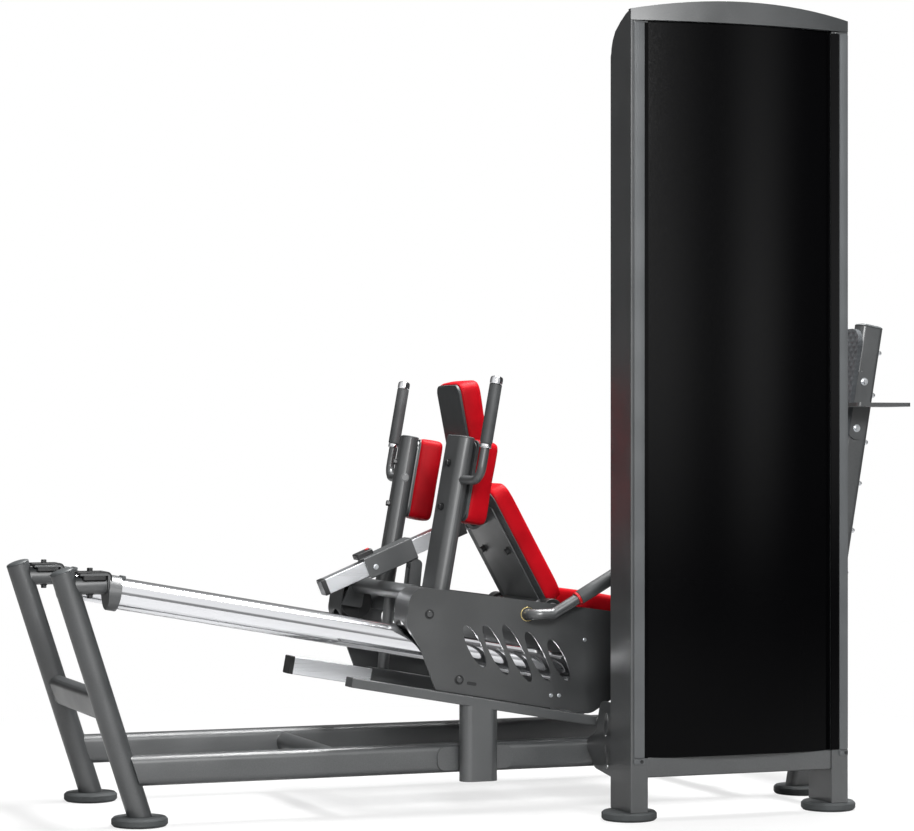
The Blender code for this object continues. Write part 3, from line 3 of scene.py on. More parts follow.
import bmesh
import bpy
from mathutils import Matrix, Vector


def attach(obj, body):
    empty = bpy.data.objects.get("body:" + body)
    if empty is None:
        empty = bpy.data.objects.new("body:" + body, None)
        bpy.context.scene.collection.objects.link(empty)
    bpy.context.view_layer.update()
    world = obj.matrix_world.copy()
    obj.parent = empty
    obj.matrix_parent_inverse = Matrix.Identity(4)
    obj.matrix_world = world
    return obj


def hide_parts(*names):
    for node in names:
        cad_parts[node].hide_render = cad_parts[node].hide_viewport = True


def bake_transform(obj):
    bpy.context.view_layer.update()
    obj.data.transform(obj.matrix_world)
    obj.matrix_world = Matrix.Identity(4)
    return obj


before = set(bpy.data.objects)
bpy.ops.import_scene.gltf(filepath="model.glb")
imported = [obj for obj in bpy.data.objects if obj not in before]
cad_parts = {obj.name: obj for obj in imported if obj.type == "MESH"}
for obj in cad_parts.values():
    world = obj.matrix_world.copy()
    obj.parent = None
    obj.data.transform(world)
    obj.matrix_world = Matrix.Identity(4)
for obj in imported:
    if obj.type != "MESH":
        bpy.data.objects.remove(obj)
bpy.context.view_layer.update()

# Photographer's view. The machine is seen from its right side, from hip height and well back,
# through a long lens held level, so uprights stay upright and the tower hides the foot plate.
scene = bpy.context.scene
view_camera = bpy.data.cameras.new("side_view")
view_camera.lens = 109.7
view_camera.sensor_width = 36.0
view_camera.shift_y = 0.030
view_camera.clip_end = 60.0
view_point = bpy.data.objects.new("side_view", view_camera)
view_point.location = (-2.5237, -6.5194, 0.905)
view_point.rotation_euler = (math.radians(90), 0, math.radians(-20.8))
scene.collection.objects.link(view_point)
scene.camera = view_point
scene.view_settings.view_transform = "Standard"


# Studio floor and light. White paper under the machine, a broad soft lamp high behind the camera and a
# long one overhead that draws the lines on the tubes. In reflections the white room dims behind the
# machine and in soft upright bands on the picture's right, which the tower's cover mirrors.
def add(tree, kind, sets=None, links=None, to=None, stops=(), **properties):
    """Adds one node: properties, values and links of its sockets, stops of its ramp and a link onwards.

    A node given as the source of a link stands for its first output.
    """
    made = tree.nodes.new(kind)
    for key, value in properties.items():
        setattr(made, key, value)
    for key, value in (sets or {}).items():
        made.inputs[key].default_value = value
    for key, source in (links or {}).items():
        tree.links.new(source.outputs[0] if hasattr(source, "outputs") else source, made.inputs[key])
    for position, _ in stops[1:-1]:
        made.color_ramp.elements.new(position)
    for k, (position, colour) in enumerate(stops):
        made.color_ramp.elements[k].position = position
        made.color_ramp.elements[k].color = (*colour, 1)
    if to is not None:
        tree.links.new(made.outputs[0], to)
    return made


def studio_floor():
    """White paper that keeps the shadows by the machine and fades into the white room away from it."""
    material = bpy.data.materials.new("seamless_paper")
    material.use_nodes = True
    tree = material.node_tree
    tree.nodes.clear()
    path = add(tree, "ShaderNodeLightPath")
    place = add(tree, "ShaderNodeTexCoord")
    far = add(tree, "ShaderNodeVectorMath", None, {0: place.outputs["Object"]}, operation="LENGTH")
    fade = add(tree, "ShaderNodeMapRange", {"From Min": 0.9, "From Max": 2.6, "To Min": 0.74, "To Max": 1.0},
               {"Value": far.outputs["Value"]}, interpolation_type="SMOOTHSTEP")
    part = add(tree, "ShaderNodeMath", None, {0: path.outputs["Is Camera Ray"], 1: fade},
               operation="MULTIPLY")
    dull = add(tree, "ShaderNodeMapRange", {"To Min": 0.90, "To Max": 0.22},
               {"Value": path.outputs["Is Diffuse Ray"]})
    shine = add(tree, "ShaderNodeMapRange", {"To Min": 1.0, "To Max": 0.66},
                {"Value": path.outputs["Is Glossy Ray"]})
    tone = add(tree, "ShaderNodeMath", None, {0: dull, 1: shine}, operation="MULTIPLY")
    paper = add(tree, "ShaderNodeBsdfDiffuse", None, {"Color": tone})
    glow = add(tree, "ShaderNodeEmission", {"Color": (1, 1, 1, 1), "Strength": 1.0})
    mixed = add(tree, "ShaderNodeMixShader", None, {0: part, 1: paper, 2: glow})
    add(tree, "ShaderNodeOutputMaterial", None, {"Surface": mixed})
    half_width, below_feet = 14, -0.0005
    shape = bmesh.new()
    bmesh.ops.create_grid(shape, x_segments=1, y_segments=1, size=half_width)
    data = bpy.data.meshes.new("studio_floor")
    shape.to_mesh(data)
    shape.free()
    data.transform(Matrix.Translation((0, 0, below_feet)))
    data.materials.append(material)
    floor = bpy.data.objects.new("studio_floor", data)
    scene.collection.objects.link(floor)


def studio_lamp(name, place, aim, size, watts):
    """A soft box at a place, turned to what it lights."""
    lamp = bpy.data.lights.new(name, "AREA")
    lamp.shape = "RECTANGLE"
    lamp.size, lamp.size_y = size
    lamp.energy = watts
    made = bpy.data.objects.new(name, lamp)
    made.location = place
    made.rotation_euler = (Vector(aim) - Vector(place)).to_track_quat("-Z", "Y").to_euler()
    scene.collection.objects.link(made)


def white_room():
    """White to the camera. Reflections see it dim behind the machine and in bands on the picture's right."""
    room = bpy.data.worlds.new("white_room")
    scene.world = room
    room.use_nodes = True
    tree = room.node_tree
    tree.nodes.clear()
    path = add(tree, "ShaderNodeLightPath")
    way = add(tree, "ShaderNodeTexCoord")
    axes = add(tree, "ShaderNodeSeparateXYZ", None, {"Vector": way.outputs["Generated"]})
    right_high = add(tree, "ShaderNodeMapRange",
                     {"From Min": 0.40, "From Max": 0.75, "To Min": 1.0, "To Max": 0.0},
                     {"Value": axes.outputs["X"]}, interpolation_type="SMOOTHSTEP")
    right_low = add(tree, "ShaderNodeValToRGB", None, {"Fac": axes.outputs["X"]},
                    stops=((0.04, (1, 1, 1)), (0.31, (0.2, 0.2, 0.2)), (0.50, (1, 1, 1)), (0.70, (0, 0, 0))))
    right_low.color_ramp.interpolation = "EASE"
    level_way = add(tree, "ShaderNodeMapRange",
                    {"From Min": 0.16, "From Max": 0.30, "To Min": 1.0, "To Max": 0.0},
                    {"Value": axes.outputs["Z"]}, interpolation_type="SMOOTHSTEP")
    right_dim = add(tree, "ShaderNodeMix", None, {0: level_way, 2: right_high, 3: right_low},
                    data_type="FLOAT")
    back_left = add(tree, "ShaderNodeMath", {1: -0.3}, {0: axes.outputs["X"], 2: axes.outputs["Y"]},
                    operation="MULTIPLY_ADD")
    back_dim = add(tree, "ShaderNodeMapRange",
                   {"From Min": -0.10, "From Max": 1.10, "To Min": 1.0, "To Max": 0.05},
                   {"Value": back_left}, interpolation_type="SMOOTHSTEP")
    dim = add(tree, "ShaderNodeMath", None, {0: right_dim, 1: back_dim}, operation="MULTIPLY")
    shine = add(tree, "ShaderNodeMath", None, {0: dim, 1: path.outputs["Is Glossy Ray"]},
                operation="MULTIPLY")
    seen = add(tree, "ShaderNodeMath", None, {0: path.outputs["Is Camera Ray"], 1: shine},
               operation="MAXIMUM")
    level = add(tree, "ShaderNodeMapRange", {"To Min": 0.06, "To Max": 1.0}, {"Value": seen})
    light = add(tree, "ShaderNodeBackground", {"Color": (1, 1, 1, 1)}, {"Strength": level})
    add(tree, "ShaderNodeOutputWorld", None, {"Surface": light})


studio_floor()
studio_lamp("key_front", (-1.3, -6.5, 3.2), (0.0, 0.0, 0.7), (2.2, 1.6), 420)
studio_lamp("overhead", (0.9, 0.2, 4.2), (0.2, 0.1, 0.0), (2.4, 1.2), 350)
white_room()


# Welded frame. Round legs, leaning uprights, guide beam, tower posts and their beams are steel tube and
# plate, welded, blasted and coated with charcoal polyester powder, which flows to a fine orange peel.
def linear(code):
    """An sRGB hex colour as linear values."""
    steps = [int(code[i:i + 2], 16) / 255 for i in (1, 3, 5)]
    return tuple(c / 12.92 if c <= 0.04045 else ((c + 0.055) / 1.055) ** 2.4 for c in steps)


def shader(name, colour, roughness, metallic=0.0, **sockets):
    """A principled material with its even values set, and its tree for the pattern that follows."""
    material = bpy.data.materials.new(name)
    material.use_nodes = True
    tree = material.node_tree
    surface = tree.nodes["Principled BSDF"]
    surface.inputs["Base Color"].default_value = (*linear(colour), 1)
    surface.inputs["Roughness"].default_value = roughness
    surface.inputs["Metallic"].default_value = metallic
    for key, value in sockets.items():
        surface.inputs[key.replace("_", " ")].default_value = value
    place = add(tree, "ShaderNodeTexCoord")
    return material, tree, surface, place.outputs["Object"]


def powder_coat(name, low, high):
    """Orange peel about 2.2 mm across and a fine grey fleck, drawn at 1.6 mm so that it shows."""
    material, tree, surface, place = shader(name, high, 0.40, IOR=1.5, Specular_IOR_Level=1.0)
    fleck = add(tree, "ShaderNodeTexNoise", {"Scale": 1 / 0.0016, "Detail": 2.0}, {"Vector": place})
    cloud = add(tree, "ShaderNodeTexNoise", {"Scale": 1 / 0.12, "Detail": 2.0}, {"Vector": place})
    both = add(tree, "ShaderNodeMath", {1: 0.3}, {0: cloud, 2: fleck}, operation="MULTIPLY_ADD")
    add(tree, "ShaderNodeValToRGB", None, {"Fac": both}, surface.inputs["Base Color"],
        ((0.48, linear(low)), (0.82, linear(high))))
    add(tree, "ShaderNodeMapRange", {"From Min": 0.3, "From Max": 0.7, "To Min": 0.32, "To Max": 0.44},
        {"Value": cloud}, surface.inputs["Roughness"])
    peel = add(tree, "ShaderNodeTexNoise", {"Scale": 1 / 0.0022, "Detail": 1.0}, {"Vector": place})
    add(tree, "ShaderNodeBump", {"Strength": 0.18, "Distance": 0.0002}, {"Height": peel},
        surface.inputs["Normal"])
    return material


def dress(names, material, edge=0.0012):
    """Gives CAD pieces their finish, with their edges eased as a tube's or a plate's are."""
    for name in names:
        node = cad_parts[name]
        if "custom_normal" in node.data.attributes:
            node.data.attributes.remove(node.data.attributes["custom_normal"])
        node.data.materials.clear()
        node.data.materials.append(material)
        node.data.polygons.foreach_set("use_smooth", [True] * len(node.data.polygons))
        weld = node.modifiers.new("weld", "WELD")
        weld.merge_threshold = 0.00002
        ease = node.modifiers.new("eased_edges", "BEVEL")
        ease.width = edge
        ease.segments = 2
        ease.limit_method = "ANGLE"
        ease.angle_limit = math.radians(32)
        flat = node.modifiers.new("flat_faces", "WEIGHTED_NORMAL")
        flat.weight = 50


SIDES = {"right": -1, "left": 1}
charcoal = powder_coat("charcoal_powder_coat", "#3c3e3f", "#4a4c4d")
dress([f"{name}_{side}" for name in ("rear_leg", "foot_upright") for side in SIDES], charcoal)
dress(["rear_crossbar", "guide_beam", "accessory_shelf"], charcoal)
dress(["tower_base_beam", "tower_link", "tower_head_beam", "tower_cap"], charcoal)
dress([f"rail_clamp_{side}" for side in SIDES], charcoal, 0.0008)
dress(["tower_post_front", "tower_post_rear"], charcoal, 0.002)


# Rubber feet. Six moulded discs are pushed on the ends of the legs, the uprights and the tower posts.
# Carbon-black rubber has a dull, dry skin with a trace of grey bloom.
def moulded_rubber(name, low, high, roughness=0.72):
    """Mould grain about 0.9 mm across, with bloom in soft patches of 40 mm."""
    material, tree, surface, place = shader(name, low, roughness, IOR=1.52)
    bloom = add(tree, "ShaderNodeTexNoise", {"Scale": 1 / 0.04, "Detail": 4.0}, {"Vector": place})
    add(tree, "ShaderNodeValToRGB", None, {"Fac": bloom}, surface.inputs["Base Color"],
        ((0.35, linear(low)), (0.70, linear(high))))
    grain = add(tree, "ShaderNodeTexNoise", {"Scale": 1 / 0.0009, "Detail": 2.0}, {"Vector": place})
    add(tree, "ShaderNodeBump", {"Strength": 0.25, "Distance": 0.0002}, {"Height": grain},
        surface.inputs["Normal"])
    return material


foot_rubber = moulded_rubber("foot_rubber", "#3f4243", "#4c4f50")
dress([f"foot_{end}_{side}" for end in ("rear", "front") for side in SIDES], foot_rubber, 0.0008)
dress(["foot_tower_front", "foot_tower_rear"], foot_rubber, 0.0008)


# Foot plate. A steel plate bolted across the two leaning uprights, faced with sheet rubber that has a
# lozenge tread rolled into it, so that shoes hold on it from any side.
def lozenge_rubber():
    """Tread lozenges 18 mm apart on the face. A wave pattern draws 3.18 waves per metre at a scale of 1."""
    material = moulded_rubber("lozenge_tread_rubber", "#34373a", "#3f4245", 0.78)
    tree = material.node_tree
    place = tree.nodes["Texture Coordinate"].outputs["Object"]
    spacing, waves_per_scale = 0.018, 3.18
    ways = []
    for turn in (45, -45):
        spun = add(tree, "ShaderNodeMapping", {"Rotation": (math.radians(turn), 0, 0)}, {"Vector": place})
        wave = add(tree, "ShaderNodeTexWave", {"Scale": 1 / spacing / waves_per_scale},
                   {"Vector": spun}, bands_direction="Z")
        ways.append(wave.outputs["Fac"])
    tread = add(tree, "ShaderNodeMath", None, {0: ways[0], 1: ways[1]}, operation="MULTIPLY")
    add(tree, "ShaderNodeBump", {"Strength": 0.6, "Distance": 0.0012}, {"Height": tread},
        tree.nodes["Principled BSDF"].inputs["Normal"])
    return material


dress(["foot_plate"], lozenge_rubber(), 0.0015)

# Rails. Two 73 mm steel tubes, ground, polished and hard chromed, run down from the rear stand under
# the carriage. The plating mirrors the room, and faint lines of polish run along the tube.
SLOPE = 10.2  # degrees


def chrome_plate(name, colour, low, high, grain):
    """Polishing lines a few tenths of a millimetre wide, drawn at the given width along the rails' slope."""
    material, tree, surface, place = shader(name, colour, low, 1.0)
    line_length = 0.4
    drawn = add(tree, "ShaderNodeMapping",
                {"Rotation": (0, math.radians(-SLOPE), 0), "Scale": (1 / line_length, 1 / grain, 1 / grain)},
                {"Vector": place})
    lines = add(tree, "ShaderNodeTexNoise", {"Scale": 1.0, "Detail": 3.0}, {"Vector": drawn})
    add(tree, "ShaderNodeMapRange", {"From Min": 0.3, "From Max": 0.7, "To Min": low, "To Max": high},
        {"Value": lines}, surface.inputs["Roughness"])
    add(tree, "ShaderNodeBump", {"Strength": 0.05, "Distance": 0.0001}, {"Height": lines},
        surface.inputs["Normal"])
    return material


chrome = chrome_plate("hard_chrome", "#e2e3e6", 0.07, 0.14, 0.0012)
dress([f"rail_{side}" for side in SIDES], chrome, 0.001)

# Tower covers. A bowed sheet of black acrylic on the outside and a folded, coated sheet on the inside
# close the tower. Black edge strips and coated trim strips run down the posts beside the acrylic, and a
# screwed block ends each trim strip.
SHARP_EDGE = math.radians(35)
MIDDLE_X, MIDDLE_Y = -0.0169, 0.1526
POST_FACE = -0.6203
STRIP_LENGTH, STRIP_MIDDLE = 1.755, 1.0305
BLOCK_THICK, BLOCK_MIDDLE = 0.0034, 0.1450
TRIM_X = (0.2560, 0.8058)


def black_acrylic():
    """Polished sheet with the slow ripple of rolled stock 90 mm long. Its shine is a painted reflection set
    by height: weak by the floor, strongest at mid height and weaker again towards the top.
    """
    material, tree, surface, place = shader("black_acrylic", "#050506", 0.14, IOR=1.49)
    height = add(tree, "ShaderNodeSeparateXYZ", None, {"Vector": place})
    # Painted reflection: the sheet's shine grows with height from the floor up to mid height.
    painted_reflection_rise = add(tree, "ShaderNodeMapRange",
                 {"From Min": 0.45, "From Max": 1.15, "To Min": 0.05, "To Max": 0.19},
                 {"Value": height.outputs["Z"]}, interpolation_type="SMOOTHSTEP")
    # Painted reflection: above mid height the sheet's shine weakens again towards the top.
    painted_reflection_fall = add(tree, "ShaderNodeMapRange",
               {"From Min": 1.25, "From Max": 1.95, "To Min": 1.0, "To Max": 0.60},
               {"Value": height.outputs["Z"]})
    add(tree, "ShaderNodeMath", None, {0: painted_reflection_rise, 1: painted_reflection_fall},
        surface.inputs["Specular IOR Level"], operation="MULTIPLY")
    stretch = add(tree, "ShaderNodeMapping", {"Scale": (1 / 0.09, 1 / 0.09, 1 / 0.6)}, {"Vector": place})
    ripple = add(tree, "ShaderNodeTexNoise", {"Scale": 1.0, "Detail": 1.0}, {"Vector": stretch})
    add(tree, "ShaderNodeBump", {"Strength": 0.05, "Distance": 0.002}, {"Height": ripple},
        surface.inputs["Normal"])
    dust = add(tree, "ShaderNodeTexNoise", {"Scale": 1 / 0.0025, "Detail": 2.0}, {"Vector": place})
    add(tree, "ShaderNodeMapRange", {"From Min": 0.4, "From Max": 0.7, "To Min": 0.12, "To Max": 0.22},
        {"Value": dust}, surface.inputs["Roughness"])
    return material


def outline(width, height, corner, steps=6):
    """A rectangle with rounded corners, as points on a plane."""
    points = []
    for turn, (x, y) in enumerate(((1, 1), (-1, 1), (-1, -1), (1, -1))):
        for k in range(steps + 1):
            a = math.radians(90 * turn + 90 * k / steps)
            points.append(((width / 2 - corner) * x + corner * math.cos(a),
                           (height / 2 - corner) * y + corner * math.sin(a)))
    return points


def walls(shape, rings):
    """Faces from each ring of points to the next."""
    for low, high in zip(rings, rings[1:]):
        for k in range(len(low)):
            after = (k + 1) % len(low)
            shape.faces.new((low[k], low[after], high[after], high[k]))


def closed(shape, rings):
    """A body with walls between its rings and a face on each end."""
    walls(shape, rings)
    shape.faces.new(rings[0][::-1])
    shape.faces.new(rings[-1])
    return shape


def slab(points, layers):
    """A closed block from rings of the same points, each layer a height and an inset towards the middle."""
    shape = bmesh.new()
    rings = []
    for height, inset in layers:
        ring = []
        for x, y in points:
            reach = math.hypot(x, y)
            ring.append(shape.verts.new((x - inset * x / reach, y - inset * y / reach, height)))
        rings.append(ring)
    return closed(shape, rings)


def placed(shape, place):
    """A shape moved to its place."""
    bmesh.ops.transform(shape, matrix=place, verts=shape.verts)
    return shape


def merged(shapes):
    """Several shapes as one."""
    whole = bmesh.new()
    for shape in shapes:
        data = bpy.data.meshes.new("part_of_piece")
        shape.to_mesh(data)
        shape.free()
        whole.from_mesh(data)
        bpy.data.meshes.remove(data)
    return whole


def piece(name, shape, material, body, place=None):
    """One finished piece: its shape put in place, shaded, and set on the body that carries it, if any."""
    if place is not None:
        placed(shape, place)
    bmesh.ops.recalc_face_normals(shape, faces=shape.faces)
    data = bpy.data.meshes.new(name)
    shape.to_mesh(data)
    shape.free()
    data.shade_smooth()
    data.set_sharp_from_angle(angle=SHARP_EDGE)
    data.materials.append(material)
    made = bpy.data.objects.new(name, data)
    scene.collection.objects.link(made)
    if body:
        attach(made, body)
    return made


def at(x, y, z):
    """A point measured from the middle of the base, between the rails."""
    return Vector((x + MIDDLE_X, y + MIDDLE_Y, z))


def on_post_face(x, z):
    """A place on the outer face of the tower posts, facing out."""
    return Matrix.Translation(at(x, POST_FACE, z)) @ Matrix.Rotation(math.pi / 2, 4, "X")


acrylic = black_acrylic()
dress(["tower_cover_outer"], acrylic, 0.0006)
dress(["tower_cover_inner"], charcoal, 0.0006)
# The trim's coat is a lighter grey than the posts', so it reads as thin lines beside the black sheet.
trim_paint = powder_coat("trim_powder_coat", "#45484a", "#525557")
trim_parts = []
edge_parts = []
for trim_x, trim_w, edge_x, edge_w in zip(TRIM_X, (0.027, 0.023), (0.2750, 0.7820), (0.0095, 0.0220)):
    strip = slab(outline(trim_w, STRIP_LENGTH, 0.003), ((0, 0), (0.0018, 0), (0.0026, 0.0012)))
    block = slab(outline(trim_w + 0.001, 0.013, 0.002), ((0, 0), (0.0026, 0), (BLOCK_THICK, 0.0008)))
    edge = slab(outline(edge_w, STRIP_LENGTH, 0.002), ((0, 0), (0.0014, 0), (0.0022, 0.0008)))
    trim_parts += [placed(strip, on_post_face(trim_x, STRIP_MIDDLE)),
                   placed(block, on_post_face(trim_x, BLOCK_MIDDLE))]
    edge_parts.append(placed(edge, on_post_face(edge_x, STRIP_MIDDLE)))
piece("cover_edges", merged(edge_parts), acrylic, "frame")
piece("cover_trim", merged(trim_parts), trim_paint, "frame")


# Weight stack. Cast-iron plates painted black slide on two chromed guide rods, and a red moulded pin
# picks how many are lifted. The pulleys that lead their cable are moulded nylon.
def cast_iron():
    """Sand-cast pits about 1.5 mm across under a thin satin paint."""
    material, tree, surface, place = shader("painted_cast_iron", "#1d1e1f", 0.5, IOR=1.5)
    pits = add(tree, "ShaderNodeTexNoise", {"Scale": 1 / 0.0015, "Detail": 4.0}, {"Vector": place})
    add(tree, "ShaderNodeBump", {"Strength": 0.35, "Distance": 0.0003}, {"Height": pits},
        surface.inputs["Normal"])
    add(tree, "ShaderNodeMapRange", {"To Min": 0.4, "To Max": 0.62}, {"Value": pits},
        surface.inputs["Roughness"])
    return material


# Moulded nylon is near black with a low, even sheen. The red plastic is smoother and shines more.
nylon = moulded_rubber("moulded_nylon", "#111213", "#191a1b", 0.46)
red_plastic = moulded_rubber("red_moulded_plastic", "#b80f18", "#c4141d", 0.32)
dress(["guide_rod_front", "guide_rod_rear"], chrome, 0.0006)
dress(["resting_weights", "lifted_weights"], cast_iron(), 0.0008)
dress(["turn_pulley", "low_pulley", "top_pulley_front", "top_pulley_middle"], nylon, 0.0005)
dress(["selector_pin"], red_plastic, 0.0008)

# Carriage. Laser-cut side plates with five leaning slots, in a darker coat than the frame's, are bolted
# to cross tubes and to four nylon rollers that run on the rails.
plate_coat = powder_coat("plate_powder_coat", "#28292a", "#343637")
dress([f"side_plate_{side}" for side in SIDES], plate_coat, 0.0008)
dress(["rear_cross_tube", "post_base_tube"], charcoal, 0.0008)
dress([f"roller_{end}_{side}" for end in ("rear", "front") for side in SIDES], nylon, 0.0008)

# Shoulder posts. Oval tube on the carriage's cross tube, turned in a little and closed by a moulded plug,
# with a bent handle welded to each. A foam rubber sleeve is pulled over the handle between a chromed
# collar and a chromed cap.
RAIL_HEIGHT = 0.383
POST_S, POST_Y, POST_TOP, POST_TURN = -0.128, 0.19, 0.520, 12
HANDLE_S, HANDLE_Y, HANDLE_LOW, HANDLE_HIGH = -0.116, 0.336, 0.496, 0.680


def tilt(degrees):
    """A lean about the axis across the machine."""
    return Matrix.Rotation(math.radians(degrees), 4, "Y")


def on_carriage(s, y, t):
    """A point of the carriage: s down along the rails, y across, t square to the rails."""
    c, n = math.cos(math.radians(SLOPE)), math.sin(math.radians(SLOPE))
    return at(s * c + t * n, y, RAIL_HEIGHT + t * c - s * n)


def on_post(sign, t=0):
    """A place on the axis of the right (-1) or left (1) post, with x square to its pad."""
    return (Matrix.Translation(on_carriage(POST_S, sign * POST_Y, t)) @ tilt(SLOPE)
            @ Matrix.Rotation(math.radians(-POST_TURN * sign), 4, "Z"))


def turned(profile, start, end, count=40):
    """A closed turned shape: radius and distance along, from start towards end."""
    shape = bmesh.new()
    rings = []
    for radius, along in profile:
        angles = [2 * math.pi * k / count for k in range(count)]
        rings.append([shape.verts.new((radius * math.cos(a), radius * math.sin(a), along)) for a in angles])
    axis = (Vector(end) - Vector(start)).normalized()
    spin = axis.to_track_quat("Z", "Y").to_matrix().to_4x4()
    return placed(closed(shape, rings), Matrix.Translation(start) @ spin)


dress([f"shoulder_post_{side}" for side in SIDES], charcoal)
post_caps = []
for sign in SIDES.values():
    lid = slab(outline(0.0440, 0.0890, 0.0215, 10),
               ((0, 0.0010), (0.0012, 0), (0.0030, 0.0006), (0.0042, 0.0035)))
    post_caps.append(placed(lid, on_post(sign, POST_TOP)))
# The moulded plugs are a plain satin grey.
plug_grey = moulded_rubber("grey_moulded_plug", "#46494a", "#505354", 0.45)
piece("post_caps", merged(post_caps), plug_grey, "carriage")
# Foam rubber is duller than the plugs and a little darker.
sleeve_rubber = moulded_rubber("grip_foam_rubber", "#3a3c3d", "#464849", 0.6)
for side, sign in SIDES.items():
    low, high = (on_carriage(HANDLE_S, sign * HANDLE_Y, t) for t in (HANDLE_LOW, HANDLE_HIGH))
    sleeve = turned(((0.0112, 0.011), (0.0138, 0.0112), (0.0155, 0.0135), (0.0156, 0.085), (0.0155, 0.157),
                     (0.0145, 0.1595), (0.0112, 0.160)), low, high)
    piece(f"grip_{side}", sleeve, sleeve_rubber, "carriage")
    collar = turned(((0.0113, 0.001), (0.0138, 0.0012), (0.0143, 0.002), (0.0143, 0.0095), (0.0138, 0.0105),
                     (0.0113, 0.0107)), low, high)
    cap = turned(((0.0113, 0.1602), (0.0150, 0.1604), (0.0157, 0.1612), (0.0158, 0.171), (0.0150, 0.1755),
                  (0.0125, 0.1782), (0.0080, 0.1796), (0.0030, 0.1800)), low, high)
    piece(f"grip_collars_{side}", merged([collar, cap]), chrome, "carriage")

# Pads. Moulded foam on black boards, wrapped in red vinyl that is drawn tight and stapled behind. The
# skin bulges between its corners, rolls over the edge and keeps an embossed grain with a soft gloss.
SKIN_VOXEL = 0.005
CLOTH_FRAMES = 20
SWELL_LIMIT, SWELL_PASSES = 0.0045, 24
HELD_BAND, STILL_BAND, BACK_GAP = 0.010, 0.004, 0.0003
SEAT_S = 0.397
SHAFT_S, SHAFT_T = 0.190, 0.138
REST_LEAN, HEAD_LEAN = -29, -11


def red_vinyl():
    """Embossed cells about 1.4 mm across, drawn at 2 mm, over slow changes of tone from stretching."""
    material, tree, surface, place = shader("red_vinyl", "#b00b18", 0.5, IOR=1.5, Specular_IOR_Level=0.08)
    tone = add(tree, "ShaderNodeTexNoise", {"Scale": 1 / 0.07, "Detail": 3.0}, {"Vector": place})
    add(tree, "ShaderNodeValToRGB", None, {"Fac": tone}, surface.inputs["Base Color"],
        ((0.30, linear("#a00915")), (0.70, linear("#b80e1b"))))
    cells = add(tree, "ShaderNodeTexVoronoi", {"Scale": 1 / 0.002}, {"Vector": place}, feature="SMOOTH_F1")
    add(tree, "ShaderNodeBump", {"Strength": 0.16, "Distance": 0.0003}, {"Height": cells},
        surface.inputs["Normal"])
    add(tree, "ShaderNodeMapRange", {"To Min": 0.42, "To Max": 0.56}, {"Value": cells},
        surface.inputs["Roughness"])
    return material


def foam_block(length, width, thick, corner, wrap):
    """The foam before it is wrapped: a little under size, its upper edge rounded and its board let in."""
    layers = ((-wrap, 0.0060), (0.003 - wrap, 0.0025), (0.5 * thick, 0.0018), (thick - 0.0090, 0.0020),
              (thick - 0.0050, 0.0034), (thick - 0.0024, 0.0066), (thick - 0.0014, 0.0120),
              (thick - 0.0010, 0.0260))
    shape = bmesh.new()
    rings = []
    for height, inset in layers:
        ring = outline(length - 2 * inset, width - 2 * inset, max(corner - inset, 0.006), 8)
        rings.append([shape.verts.new((x, y, height)) for x, y in ring])
    return closed(shape, rings)


def evaluated(made):
    """A plain mesh from an object with its modifiers."""
    graph = bpy.context.evaluated_depsgraph_get()
    return bpy.data.meshes.new_from_object(made.evaluated_get(graph), depsgraph=graph)


def swelling(made, before, wrap):
    """How far cloth pressure blows out each point of a skin held at its board, capped and evened out."""
    held = made.vertex_groups.new(name="board")
    held.add([v.index for v in made.data.vertices if v.co.z < HELD_BAND - wrap], 1.0, "REPLACE")
    cloth = made.modifiers.new("cloth", "CLOTH")
    cloth.settings.quality = 5
    cloth.settings.vertex_group_mass = "board"
    cloth.settings.use_pressure = True
    cloth.settings.uniform_pressure_force = 4.0
    cloth.settings.tension_stiffness = 25
    cloth.settings.compression_stiffness = 25
    cloth.settings.bending_stiffness = 2.0
    cloth.settings.effector_weights.gravity = 0
    cloth.point_cache.frame_start = 1
    cloth.point_cache.frame_end = CLOTH_FRAMES
    for step in range(1, CLOTH_FRAMES + 1):
        scene.frame_set(step)
    swollen = evaluated(made)
    after = [v.co.copy() for v in swollen.vertices]
    bpy.data.meshes.remove(swollen)
    made.modifiers.clear()
    scene.frame_set(1)
    moves = [new - old for old, new in zip(before, after)]
    moves = [move * min(1, SWELL_LIMIT / max(move.length, 1e-9)) for move in moves]
    linked = [[] for _ in moves]
    for edge in made.data.edges:
        first, second = edge.vertices
        linked[first].append(second)
        linked[second].append(first)
    for _ in range(SWELL_PASSES):
        moves = [(move + sum((moves[k] for k in near), Vector())) / (1 + len(near))
                 for move, near in zip(moves, linked)]
    return moves


